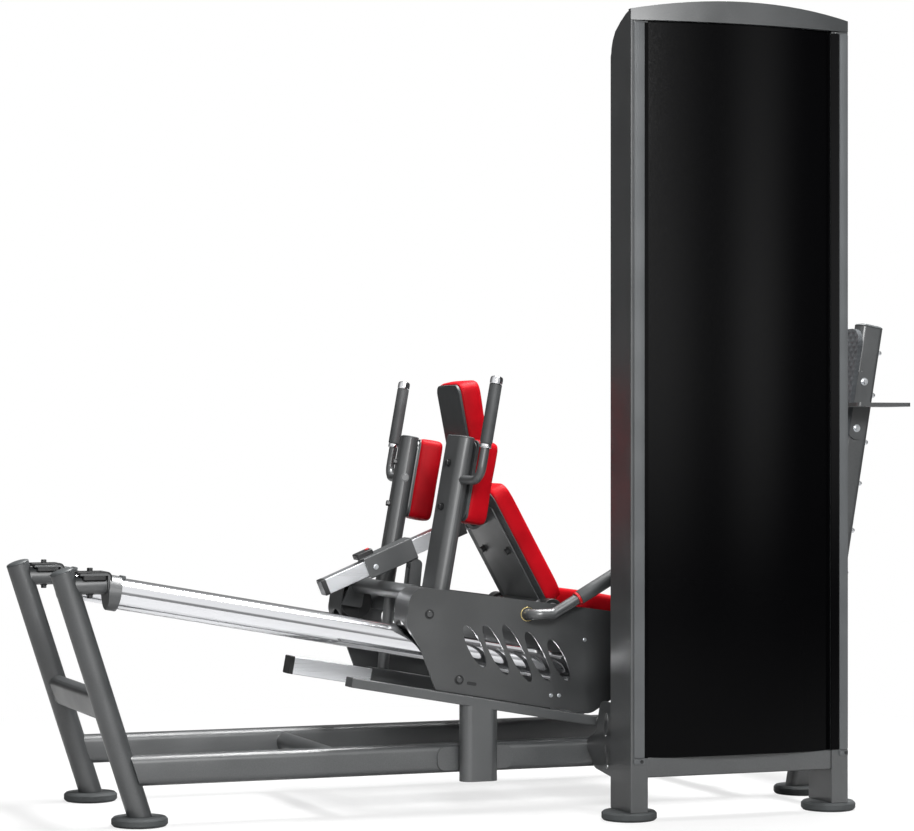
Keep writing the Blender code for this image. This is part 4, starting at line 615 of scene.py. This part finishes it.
def upholstered(name, body, size, corner, wrap, place):
    """Wraps a foam block in a skin that swells, is held to the pad's space and is smoothed."""
    length, width, thick = size
    data = bpy.data.meshes.new(name)
    shape = foam_block(length, width, thick, corner, wrap)
    shape.to_mesh(data)
    shape.free()
    made = bpy.data.objects.new(name, data)
    scene.collection.objects.link(made)
    skin = made.modifiers.new("skin", "REMESH")
    skin.mode = "VOXEL"
    skin.voxel_size = SKIN_VOXEL
    made.data = evaluated(made)
    made.modifiers.clear()
    before = [v.co.copy() for v in made.data.vertices]
    for vertex, old, move in zip(made.data.vertices, before, swelling(made, before, wrap)):
        vertex.co = old + move
    for vertex in made.data.vertices:
        x, y, z = vertex.co
        vertex.co = (max(min(x, length / 2), -length / 2), max(min(y, width / 2), -width / 2),
                     max(min(z, thick), BACK_GAP - wrap))
    shape = bmesh.new()
    shape.from_mesh(made.data)
    loose = [v for v in shape.verts if v.co.z > STILL_BAND - wrap]
    for _ in range(2):
        bmesh.ops.smooth_vert(shape, verts=loose, factor=0.5,
                              use_axis_x=True, use_axis_y=True, use_axis_z=True)
    shape.to_mesh(made.data)
    shape.free()
    finer = made.modifiers.new("finer", "SUBSURF")
    finer.levels = finer.render_levels = 1
    data = evaluated(made)
    data.transform(place)
    data.shade_smooth()
    data.materials.append(vinyl)
    made.modifiers.clear()
    made.vertex_groups.clear()
    made.data = data
    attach(made, body)
    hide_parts(name.removesuffix("_cover"))


vinyl = red_vinyl()
# The boards' black paint is flat and looks a little grey beside the vinyl.
board_black = moulded_rubber("black_pad_board", "#2b2f30", "#35393a", 0.5)
rest_place = Matrix.Translation(on_carriage(SHAFT_S, 0, SHAFT_T)) @ tilt(REST_LEAN)
head_place = Matrix.Translation(at(0.046, 0, 0.848)) @ tilt(HEAD_LEAN)
# Each pad's body, its length, width and thickness, its corner, how far the skin wraps back, and its place.
pads = {
    "seat_pad": ("carriage", (0.290, 0.400, 0.050), 0.028, 0,
                 Matrix.Translation(on_carriage(SEAT_S, 0, 0.149)) @ tilt(SLOPE)),
    "back_pad": ("backrest", (0.343, 0.320, 0.049), 0.036, 0.001,
                 rest_place @ Matrix.Translation((0.012, 0, 0.1695)) @ tilt(90)),
    "head_pad": ("backrest", (0.215, 0.170, 0.054), 0.028, 0.002,
                 head_place @ Matrix.Translation((0, 0, 0.1075)) @ tilt(90)),
}
for side, sign in SIDES.items():
    pads[f"shoulder_pad_{side}"] = ("carriage", (0.214, 0.107, 0.050), 0.020, 0.011,
                                    on_post(sign) @ Matrix.Translation((0.0368, 0, 0.418)) @ tilt(90))
for name, (body, size, corner, wrap, place) in pads.items():
    upholstered(f"{name}_cover", body, size, corner, wrap, place)
# Each board's depth behind its pad, and how much narrower than the pad it is.
for name, depth, trim_in in (("shoulder_pad_right", 0.0138, 0.0105), ("shoulder_pad_left", 0.0138, 0.0105),
                             ("back_pad", 0.0035, 0.0100), ("head_pad", 0.0078, 0.0125)):
    body, (length, width, _), corner, _, place = pads[name]
    board = slab(outline(length - trim_in, width - trim_in, corner - 0.004),
                 ((-depth, 0.001), (-depth + 0.0010, 0), (-0.0006, 0)))
    piece(f"{name}_board", board, board_black, body, place)

# Seat frame. Two cut cheeks hang from the backrest's shaft and carry the seat pan, bridges under them
# hold the square housing of the start bar, and sealed bearings close on both ends of the shaft.
CHEEK_IN, CHEEK_OUT, BRIDGE_END = 0.130, 0.138, 0.134
SHAFT_END = 0.2997
HOUSING_T, BRIDGE_T = -0.107, -0.0777
BROKEN_EDGE = 0.0006


def plate(points, low, high):
    """A plate cut to an outline seen from the side, between two places across, with its edges broken."""
    shape = placed(slab(points, ((-high, 0), (-low, 0))), Matrix.Rotation(math.pi / 2, 4, "X"))
    shape.normal_update()
    sharp = [edge for edge in shape.edges if edge.calc_face_angle(0) > math.radians(40)]
    bmesh.ops.bevel(shape, geom=sharp, offset=BROKEN_EDGE, segments=2, profile=0.5, affect="EDGES")
    return shape


def square_tube(outside, inside, low, high):
    """An open square tube along x."""
    shape = bmesh.new()
    ends = ((outside, 0.0022, low), (outside, 0.0022, high), (inside, 0.0008, high), (inside, 0.0008, low))
    rings = [[shape.verts.new((along, x, y)) for x, y in outline(across, across, corner, 3)]
             for across, corner, along in ends]
    walls(shape, rings + rings[:1])
    return shape


seat_place = Matrix.Translation(on_carriage(0, 0, 0)) @ tilt(SLOPE)
cheek = ((0.028, 0.118), (0.058, -0.095), (0.240, -0.095), (0.512, 0.119), (0.512, 0.146), (0.257, 0.146),
         (0.170, 0.142))
pan = slab(outline(0.270, 0.370, 0.020), ((0.1427, 0.0006), (0.1433, 0), (0.1487, 0)))
seat_parts = [plate(cheek, -CHEEK_OUT, -CHEEK_IN), plate(cheek, CHEEK_IN, CHEEK_OUT),
              placed(pan, Matrix.Translation((SEAT_S, 0, 0))),
              placed(square_tube(0.052, 0.045, -0.198, 0.300), Matrix.Translation((0, 0, HOUSING_T))),
              turned(((0.011, 0), (0.011, 2 * SHAFT_END)), (SHAFT_S, -SHAFT_END, SHAFT_T),
                     (SHAFT_S, SHAFT_END, SHAFT_T))]
for s in (0.083, 0.215):
    bridge = [(s + x, y + BRIDGE_T) for x, y in outline(0.040, 0.012, 0.002, 3)]
    seat_parts.append(plate(bridge, -BRIDGE_END, BRIDGE_END))
seat_carrier = piece("seat_carrier", merged(seat_parts), charcoal, "carriage", seat_place)
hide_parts("seat_frame")
bearing_parts = []
ring_parts = []
for low in (-0.1960, 0.1615):
    start, end = Vector((SHAFT_S, low, SHAFT_T)), Vector((SHAFT_S, low + 0.1, SHAFT_T))
    bearing_parts.append(turned(((0.0112, 0.0020), (0.0185, 0.0020), (0.0190, 0.0008), (0.0255, 0),
                                 (0.0270, 0.0012), (0.0270, 0.0333), (0.0255, 0.0345), (0.0190, 0.0337),
                                 (0.0185, 0.0325), (0.0112, 0.0325)), start, end))
    for face, way in ((0.0018, -1), (0.0327, 1)):
        foot = start + Vector((0, face, 0))
        ring_parts.append(turned(((0.0135, 0), (0.0168, 0), (0.0165, 0.0008), (0.0138, 0.0008)),
                                 foot, foot + Vector((0, way, 0))))
# The bearings' seals are the blackest rubber on the machine.
seal_black = moulded_rubber("bearing_seal_rubber", "#0d0e0e", "#141515", 0.5)
piece("shaft_bearings", merged(bearing_parts), seal_black, "carriage", seat_place)
# Nickel plate shows the draw lines of the bar under it, about 0.3 mm wide, drawn at 0.8 mm.
nickel = chrome_plate("satin_nickel", "#e6e8eb", 0.26, 0.38, 0.0008)
piece("bearing_rings", merged(ring_parts), nickel, "carriage", seat_place)

# Base rails. Rounded box tube, cut to the lean of the rear leg and of the upright that it is welded to.
# The right one carries the tower's arm, the left one two cross tubes and the pin of the turning pulley.
BASE_Y, BASE_Z = 0.255, 0.131
UPRIGHT_LEAN, LEG_LEAN = 0.1712, -0.3214
TOWER_ARM_X, TOWER_ARM_END = 0.7965, -0.4997
CROSS_END, REAR_CROSS_X, FRONT_CROSS_X, FRONT_CROSS_Z = -0.2297, -0.36, 0.700, 0.123
TURN_S, BEND_R = 0.7346, 0.045


def leaning_tube(ends, y, z):
    """A box tube along x, 50 by 72 mm, whose ends follow lines given as x at the floor and x per height."""
    shape = bmesh.new()
    section = outline(0.050, 0.072, 0.018, 6)
    rings = [[shape.verts.new((foot + lean * (z + up), y + across, z + up)) for across, up in section]
             for foot, lean in ends]
    for k in range(len(section)):
        shape.faces.new((rings[0][k], rings[0][k - 1], rings[1][k - 1], rings[1][k]))
    shape.faces.new(rings[0])
    shape.faces.new(rings[1][::-1])
    return shape


rail_ends = ((-0.8450, LEG_LEAN), (0.8432, UPRIGHT_LEAN))
base_place = Matrix.Translation(at(0, 0, 0))
arm_side = [(TOWER_ARM_X + x, BASE_Z + z) for x, z in outline(0.044, 0.050, 0.008, 4)]
tower_arm = plate(arm_side, TOWER_ARM_END, -BASE_Y)
right_tube = piece("base_tube_right", merged([leaning_tube(rail_ends, -BASE_Y, BASE_Z), tower_arm]), charcoal,
                   "frame", base_place)
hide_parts("base_rail_right")
cross_side = [(FRONT_CROSS_X + x, FRONT_CROSS_Z + z) for x, z in outline(0.060, 0.050, 0.010, 4)]
cross_front = plate(cross_side, CROSS_END, BASE_Y)
cross_rear = turned(((0.024, 0), (0.024, BASE_Y - CROSS_END)),
                    (REAR_CROSS_X, CROSS_END, BASE_Z), (REAR_CROSS_X, BASE_Y, BASE_Z))
pin_low, pin_high = (on_carriage(TURN_S, -BEND_R, t) - at(0, 0, 0) for t in (-0.138, -0.040))
pulley_pin = turned(((0.0075, 0), (0.0075, 0.098)), pin_low, pin_high)
left_parts = [leaning_tube(rail_ends, BASE_Y, BASE_Z), cross_front, cross_rear, pulley_pin]
left_tube = piece("base_tube_left", merged(left_parts), charcoal, "frame", base_place)
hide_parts("base_rail_left")

# Lift cable. A nylon-coated wire from the start bar's hook round the pulleys and down to the stack. Its
# ends are drawn as runs of their own, because they lengthen and shorten as the carriage and stack move.
WIRE_R = 0.003
CABLE_T = -0.058
START_END, SPLIT_S = 0.412, 0.600
LOW_PULLEY_X, LOW_PULLEY_Y, LOW_PULLEY_Z = 0.757, -0.515, 0.2329
DROP_Y, TOP_PULLEY_Z = -0.560, 1.800
RUN_STEPS = 24


def wire(points, count=10):
    """A round wire swept along points."""
    shape = bmesh.new()
    rings = []
    side = None
    for k, point in enumerate(points):
        way = (points[min(k + 1, len(points) - 1)] - points[max(k - 1, 0)]).normalized()
        side = (way.orthogonal() if side is None else side - way * side.dot(way)).normalized()
        up = way.cross(side)
        angles = [2 * math.pi * i / count for i in range(count)]
        rings.append([shape.verts.new(point + WIRE_R * (math.cos(a) * side + math.sin(a) * up))
                      for a in angles])
    return closed(shape, rings)


quarter = [math.pi / 16 * k for k in range(9)]
hook, split, turn_in = (on_carriage(s, 0, CABLE_T) for s in (START_END, SPLIT_S, TURN_S))
route = [on_carriage(TURN_S + BEND_R * math.sin(a), -BEND_R + BEND_R * math.cos(a), CABLE_T)
         for a in quarter]
route += [at(LOW_PULLEY_X, LOW_PULLEY_Y - BEND_R * math.sin(a), LOW_PULLEY_Z - BEND_R * math.cos(a))
          for a in quarter]
for x, first in ((0.712, 0), (0.572, math.pi / 2)):
    route += [at(x + BEND_R * math.cos(first + a), DROP_Y, TOP_PULLEY_Z + BEND_R * math.sin(first + a))
              for a in quarter]
stack_end = at(0.527, DROP_Y, 0.6923)
fixed_run = piece("cable_over_pulleys", wire(route), nylon, "frame")
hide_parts("lift_cable")
runs = (("cable_at_hook", "start_slide", "carriage", hook, split),
        ("cable_at_carriage", "carriage", "frame", split, turn_in),
        ("cable_at_stack", "lifted_stack", "frame", stack_end, route[-1]))
for name, near_body, far_body, start, end in runs:
    points = [start.lerp(end, k / RUN_STEPS) for k in range(RUN_STEPS + 1)]
    run = piece(name, wire(points), nylon, None)
    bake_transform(run)

# Backrest frame and adjuster. A flat plate on the shaft carries the back pad's board, with two ears for
# the adjuster's pin and an arm up to the head board. A bright square bar slides through a welded sleeve
# to set its lean, with a coated socket on its front end and a plastic plug in its rear end.
PIN_X, PIN_Z, PIN_END = -0.0252, 0.2647, 0.0337
EAR_R, EAR_FOOT = 0.021, 0.0060
TUBE_END = 0.118
BAR_LEAN, BAR_LIFT = -22.45, 0.044
back_plate = slab(outline(0.285, 0.230, 0.010), ((-0.0070, 0.0006), (-0.0064, 0), (-0.0036, 0)))
ear_arc = [math.radians(a) for a in range(270, 89, -15)]
ear = [(EAR_FOOT, PIN_Z - EAR_R),
       *((PIN_X + EAR_R * math.cos(a), PIN_Z + EAR_R * math.sin(a)) for a in ear_arc),
       (EAR_FOOT, PIN_Z + EAR_R)]
head_arm = ((0.0080, 0.250), (0.0080, 0.339), (0.0311, 0.4101), (0.0459, 0.4558), (0.0035, 0.353),
            (0.0035, 0.250))
rest_parts = [placed(back_plate, Matrix.Translation((0.012, 0, 0.1475)) @ tilt(90)),
              plate(ear, -0.030, -0.0225), plate(ear, 0.0225, 0.030), plate(head_arm, -0.030, 0.030),
              turned(((0.0205, 0), (0.0220, 0.0010), (0.0220, 0.2350), (0.0205, 0.2360)),
                     (0, -TUBE_END, 0), (0, TUBE_END, 0))]
rest_frame = piece("rest_frame", merged(rest_parts), charcoal, "backrest", rest_place)
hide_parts("back_frame")
# Black oxide is a thin, dark skin on the steel with a half-dull shine.
oxide = moulded_rubber("black_oxide_steel", "#161718", "#1f2021", 0.38)
pin = turned(((0.0110, 0), (0.0125, 0.0010), (0.0125, 0.0032), (0.0060, 0.0034), (0.0060, 0.0640),
              (0.0125, 0.0642), (0.0125, 0.0664), (0.0110, 0.0674)),
             (PIN_X, -PIN_END, PIN_Z), (PIN_X, PIN_END, PIN_Z))
piece("adjuster_pin", pin, oxide, "backrest", rest_place)
dress(["adjuster_sleeve"], charcoal, 0.0008)
dress(["adjuster_bar", "start_bar"], nickel, 0.0008)
sleeve_place = Matrix.Translation(at(-0.090, 0, 0.5945)) @ tilt(BAR_LEAN)
bar_plug = slab(outline(0.0412, 0.0412, 0.003), ((-0.0075, 0), (0.0035, 0), (0.0050, 0.0015)))
piece("adjuster_plug", bar_plug, nylon, "adjuster",
      sleeve_place @ Matrix.Translation((-0.245, 0, BAR_LIFT)) @ tilt(-90))
start_plug = slab(outline(0.0452, 0.0452, 0.003), ((-0.0080, 0), (0.0030, 0), (0.0045, 0.0015)))
start_place = Matrix.Translation(on_carriage(-START_END, 0, HOUSING_T)) @ tilt(SLOPE)
piece("start_bar_plug", start_plug, nylon, "start_slide", start_place @ tilt(-90))
socket = square_tube(0.0470, 0.0404, 0.1120, 0.1580)
piece("bar_socket", socket, charcoal, "adjuster",
      sleeve_place @ Matrix.Translation((0, 0, BAR_LIFT)))
latch = slab(outline(0.046, 0.040, 0.005), ((0, 0), (0.011, 0), (0.013, 0.002)))
piece("sleeve_latch", latch, nylon, "sleeve",
      sleeve_place @ Matrix.Translation((-0.112, 0.012, 0.0712)))
tab = slab(outline(0.012, 0.008, 0.003), ((0, 0), (0.002, 0), (0.003, 0.001)))
piece("latch_tab", tab, red_plastic, "sleeve",
      sleeve_place @ Matrix.Translation((-0.098, 0.012, 0.0838)))


# Release lever. A bent tube on a bronze bush in the right side plate, with a red stop ring and a foam
# rubber sleeve on its long arm, within reach of the seat.
def bronze():
    """Machined bronze with turning lines about 0.4 mm apart."""
    material, tree, surface, place = shader("turned_bronze", "#dcc888", 0.28, 1.0)
    lines = add(tree, "ShaderNodeTexNoise", {"Scale": 1 / 0.0004, "Detail": 2.0}, {"Vector": place})
    add(tree, "ShaderNodeMapRange", {"To Min": 0.22, "To Max": 0.40}, {"Value": lines},
        surface.inputs["Roughness"])
    return material


dress(["release_lever"], charcoal, 0.0008)
pivot = on_carriage(0.078, -0.3063, 0.115)
outward = pivot + Vector((0, -1, 0))
bush = turned(((0.0165, 0), (0.0178, 0.0004), (0.0178, 0.0012), (0.0170, 0.0018), (0.0150, 0.0018)),
              pivot, outward)
piece("lever_bush", bush, bronze(), "lever")
seal = turned(((0.0155, 0.0010), (0.0162, 0.0014), (0.0162, 0.0026), (0.0140, 0.0030)), pivot, outward)
piece("lever_seal", seal, nylon, "lever")
arm_low, arm_high = on_carriage(0.188, -0.346, 0.1738), on_carriage(0.323, -0.346, 0.285)
ring = turned(((0.0136, -0.004), (0.0168, -0.0038), (0.0174, -0.003), (0.0174, 0.002), (0.0168, 0.0028),
               (0.0136, 0.003)), arm_low, arm_high)
piece("lever_ring", ring, red_plastic, "lever")
reach = (arm_high - arm_low).length
sleeve = turned(((0.0137, 0.0032), (0.0168, 0.0034), (0.0178, 0.005), (0.0180, 0.05), (0.0178, reach - 0.004),
                 (0.0165, reach + 0.001), (0.0120, reach + 0.0022)), arm_low, arm_high)
piece("lever_grip", sleeve, sleeve_rubber, "lever")

# Fasteners. Hex bolts on washers clamp the pads, the backrest and the shelf's bracket, zinc domed nuts
# close the uprights' bolts, and low round heads sit on the side plates beside a short slot, drawn as a
# thin dark sheet of painted shade. Each is pressed or turned from steel and stands square on its own face.
FASTENER_SIZES = ("Head Across", "Head Height", "Washer Across")
PLATE_FACE, HEAD_GAP = 0.3060, 0.0001
UPRIGHT_X, UPRIGHT_FOOT, UPRIGHT_HALF = 0.878, 0.022, 0.0338


def fastener_tree(name, sides, domed):
    """Instances of a washer, a head and, on nuts, a dome, on points that carry the way they face."""
    tree = bpy.data.node_groups.new(name, "GeometryNodeTree")
    tree.interface.new_socket("Geometry", in_out="INPUT", socket_type="NodeSocketGeometry")
    for key in FASTENER_SIZES:
        tree.interface.new_socket(key, in_out="INPUT", socket_type="NodeSocketFloat")
    tree.interface.new_socket("Finish", in_out="INPUT", socket_type="NodeSocketMaterial")
    tree.interface.new_socket("Geometry", in_out="OUTPUT", socket_type="NodeSocketGeometry")
    given = add(tree, "NodeGroupInput")
    half, middle, rim = (add(tree, "ShaderNodeMath", {1: 0.5}, {0: given.outputs[key]}, operation="MULTIPLY")
                         for key in FASTENER_SIZES)
    top = add(tree, "ShaderNodeMath", {1: 0.88}, {0: half}, operation="MULTIPLY")
    washer = add(tree, "GeometryNodeMeshCylinder", {"Vertices": 24, "Depth": 0.0016}, {"Radius": rim})
    head = add(tree, "GeometryNodeMeshCylinder", {"Vertices": sides},
               {"Radius": half, "Depth": given.outputs["Head Height"]})
    shoulder = add(tree, "GeometryNodeMeshCone", {"Vertices": sides, "Depth": 0.0012},
                   {"Radius Bottom": half, "Radius Top": top})
    stacked = [(head, middle), (shoulder, given.outputs["Head Height"])]
    if domed:
        ball = add(tree, "GeometryNodeMeshUVSphere", {"Segments": 20, "Rings": 10}, {"Radius": top})
        stacked.append((ball, given.outputs["Head Height"]))
    whole = add(tree, "GeometryNodeJoinGeometry")
    tree.links.new(washer.outputs["Mesh"], whole.inputs[0])
    for solid, height in stacked:
        lift = add(tree, "ShaderNodeCombineXYZ", None, {"Z": height})
        add(tree, "GeometryNodeTransform", None, {"Geometry": solid, "Translation": lift}, whole.inputs[0])
    facing = add(tree, "GeometryNodeInputNamedAttribute", {"Name": "facing"}, data_type="FLOAT_VECTOR")
    turn = add(tree, "FunctionNodeAlignRotationToVector", None, {"Vector": facing.outputs["Attribute"]},
               axis="Z")
    set_on = add(tree, "GeometryNodeInstanceOnPoints", None,
                 {"Points": given.outputs["Geometry"], "Instance": whole, "Rotation": turn})
    real = add(tree, "GeometryNodeRealizeInstances", None, {"Geometry": set_on})
    finished = add(tree, "GeometryNodeSetMaterial", None,
                   {"Geometry": real, "Material": given.outputs["Finish"]})
    add(tree, "NodeGroupOutput", None, {"Geometry": finished})
    return tree


def fasten(name, tree, spots, sizes, material, body):
    """Sets fasteners on points with the way each faces, as one plain mesh on one body."""
    data = bpy.data.meshes.new(name)
    data.from_pydata([tuple(point) for point, _ in spots], [], [])
    facing = data.attributes.new("facing", "FLOAT_VECTOR", "POINT")
    facing.data.foreach_set("vector", [c for _, way in spots for c in Vector(way).normalized()])
    made = bpy.data.objects.new(name, data)
    scene.collection.objects.link(made)
    setter = made.modifiers.new("fasteners", "NODES")
    setter.node_group = tree
    named = {s.name: s.identifier for s in tree.interface.items_tree if s.in_out == "INPUT"}
    for key, value in zip(FASTENER_SIZES, sizes):
        setter[named[key]] = value
    setter[named["Finish"]] = material
    data = evaluated(made)
    made.modifiers.clear()
    data.shade_smooth()
    data.set_sharp_from_angle(angle=SHARP_EDGE)
    made.data = data
    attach(made, body)


def facing_back(place, x, y, z):
    """A spot on a piece's own place, facing back from it."""
    return place @ Vector((x, y, z)), place.to_3x3() @ Vector((-1, 0, 0))


hex_bolts = fastener_tree("hex_bolts", 6, False)
round_heads = fastener_tree("round_heads", 24, False)
domed_nuts = fastener_tree("domed_nuts", 6, True)
# Bright zinc is a soft silver, duller than the chrome.
zinc = chrome_plate("bright_zinc", "#d3d6d9", 0.28, 0.42, 0.001)
right, left = (0, -1, 0), (0, 1, 0)
plate_spots = []
small_spots = []
slot_shade_parts = []
post_spots = []
plug_spots = []
for sign, way in ((-1, right), (1, left)):
    face = sign * (PLATE_FACE + HEAD_GAP)
    plate_spots += [(on_carriage(s, face, t), way) for s, t in ((-0.1765, 0.0745), (-0.0718, -0.0713))]
    small_spots += [(on_carriage(s, face, t), way)
                    for s, t in ((0.2417, 0.0759), (0.1763, -0.0734), (0.1975, -0.0703))]
    # Each slot is a thin dark sheet lying on the plate's face: painted shade where the slot's hollow would
    # be.
    slot_place = (Matrix.Translation(on_carriage(-0.0375, sign * PLATE_FACE, -0.0756)) @ tilt(SLOPE)
                  @ Matrix.Rotation(math.radians(-90 * sign), 4, "X"))
    slot_shade_parts.append(placed(slab(outline(0.026, 0.0085, 0.0041), ((0, 0), (0.0003, 0))), slot_place))
    post = on_post(sign)
    post_spots += [facing_back(post, -0.0226, 0, t) for t in (0.4526, 0.3427)]
    plug_spots.append((post @ Vector((0.0, -0.0451 * sign, 0.4146)), post.to_3x3() @ Vector((0, -sign, 0))))
piece("plate_slot_painted_shade", merged(slot_shade_parts), oxide, "carriage")
# These are washers, and their black ring round each head is also painted shade of the gap round the head.
fasten("plate_washers_and_gap_shade", round_heads, plate_spots, (0.0180, 0.0006, 0.0245), oxide, "carriage")
fasten("plate_bolts", round_heads, plate_spots, (0.0150, 0.0034, 0.0180), plate_coat, "carriage")
fasten("plate_screws", round_heads, small_spots, (0.008, 0.0022, 0.010), zinc, "carriage")
fasten("pad_bolts", hex_bolts, post_spots, (0.015, 0.008, 0.020), oxide, "carriage")
fasten("handle_plugs", round_heads, plug_spots, (0.019, 0.0012, 0.022), charcoal, "carriage")
channel_spots = [facing_back(rest_place, 0.0050, y, 0.164) for y in (-0.084, 0.084)]
channel_spots.append(facing_back(head_place, -0.0086, 0, 0.045))
fasten("channel_bolts", hex_bolts, channel_spots, (0.017, 0.010, 0.023), oxide, "backrest")
sleeve_spots = [(at(-0.2016, 0.0277 * sign, 0.5924), way) for sign, way in ((-1, right), (1, left))]
fasten("sleeve_bolt", round_heads, sleeve_spots, (0.010, 0.004, 0.014), zinc, "sleeve")
front_way = (0.9857, 0, -0.1687)
nut_spots = []
for y in (-BASE_Y, BASE_Y):
    for z in (1.1405, 1.0305, 0.9076, 0.8007, 0.6783, 0.5691):
        front_x = UPRIGHT_X + UPRIGHT_LEAN * (z - UPRIGHT_FOOT) + UPRIGHT_HALF
        nut_spots.append((at(front_x, y, z), front_way))
fasten("upright_nuts", domed_nuts, nut_spots, (0.015, 0.008, 0.020), zinc, "frame")
bracket_spots = [(at(1.0508, -0.2855, 1.0642), right), (at(1.0285, -0.2855, 0.9431), right)]
fasten("bracket_bolts", hex_bolts, bracket_spots, (0.014, 0.007, 0.020), zinc, "frame")
block_spots = [(at(x + 0.006, POST_FACE - BLOCK_THICK, BLOCK_MIDDLE), right) for x in TRIM_X]
fasten("trim_screws", round_heads, block_spots, (0.0070, 0.0010, 0.0090), oxide, "frame")

# Rear clamps and caps. Moulded plugs close the tubes' open ends. A black strap bends over each rail's
# clamp on a lining pad and one bolt holds both to the stub, and a small rubber stop stands on each rail.
STRAP_X, STRAP_Z, STRAP_OUT, STRAP_IN = -0.957, 0.590, 0.0136, 0.0104
STRAP_REAR, STRAP_LOW, STRAP_HALF = -1.026, 0.578, 0.031
STRAP_TOP, STUB_UNDER = STRAP_Z + STRAP_OUT, 0.5483
STOP_S = -0.9335
RAIL_Y = 0.25
UPRIGHT_TILT = 9.71
strap_parts = []
cap_parts = []
stop_parts = []
strap_spots = []
bend = [math.radians(10 * k) for k in range(10)]
over = [(STRAP_X + STRAP_OUT * math.sin(a), STRAP_Z + STRAP_OUT * math.cos(a)) for a in bend]
under = [(STRAP_X + STRAP_IN * math.sin(a), STRAP_Z + STRAP_IN * math.cos(a)) for a in reversed(bend)]
strap_side = [(STRAP_REAR, STRAP_TOP), *over, (STRAP_X + STRAP_OUT, STRAP_LOW),
              (STRAP_X + STRAP_IN, STRAP_LOW), *under, (STRAP_REAR, STRAP_Z + STRAP_IN)]
for y in (-RAIL_Y, RAIL_Y):
    lining = slab(outline(0.056, 0.060, 0.004), ((0, 0.001), (0.001, 0), (0.0096, 0), (0.0100, 0.0004)))
    strap_parts += [placed(plate(strap_side, y - STRAP_HALF, y + STRAP_HALF), base_place),
                    placed(lining, Matrix.Translation(at(-0.984, y, 0.5836)))]
    strap_spots += [(at(-0.990, y, STRAP_TOP), (0, 0, 1)), (at(-0.990, y, STUB_UNDER), (0, 0, -1))]
    leg_top, leg_way = at(-1.056, y, 0.601), Vector((-0.3060, 0, 0.9520))
    cap_parts.append(turned(((0.0270, -0.0002), (0.0287, 0.0004), (0.0287, 0.0022), (0.0270, 0.0046),
                             (0.0220, 0.0066), (0.0140, 0.0080), (0.0050, 0.0086)),
                            leg_top, leg_top + leg_way))
    stop_parts.append(turned(((0.0085, 0), (0.0085, 0.006), (0.0075, 0.0078), (0.0040, 0.0085)),
                             on_carriage(STOP_S, y, 0.0362), on_carriage(STOP_S, y, 0.06), 24))
for y in (-BASE_Y, BASE_Y):
    lid = slab(outline(0.0668, 0.0508, 0.0145),
               ((0, 0.0006), (0.0008, 0), (0.0026, 0), (0.0052, 0.003), (0.0068, 0.009)))
    cap_parts.append(placed(lid, Matrix.Translation(at(1.0805, y, 1.2052)) @ tilt(UPRIGHT_TILT)))
piece("tube_caps", merged(cap_parts), plug_grey, "frame")
piece("strap_pads", merged(strap_parts), nylon, "frame")
piece("rail_stops", merged(stop_parts), foot_rubber, "frame")
fasten("strap_bolts", hex_bolts, strap_spots, (0.014, 0.007, 0.018), oxide, "frame")
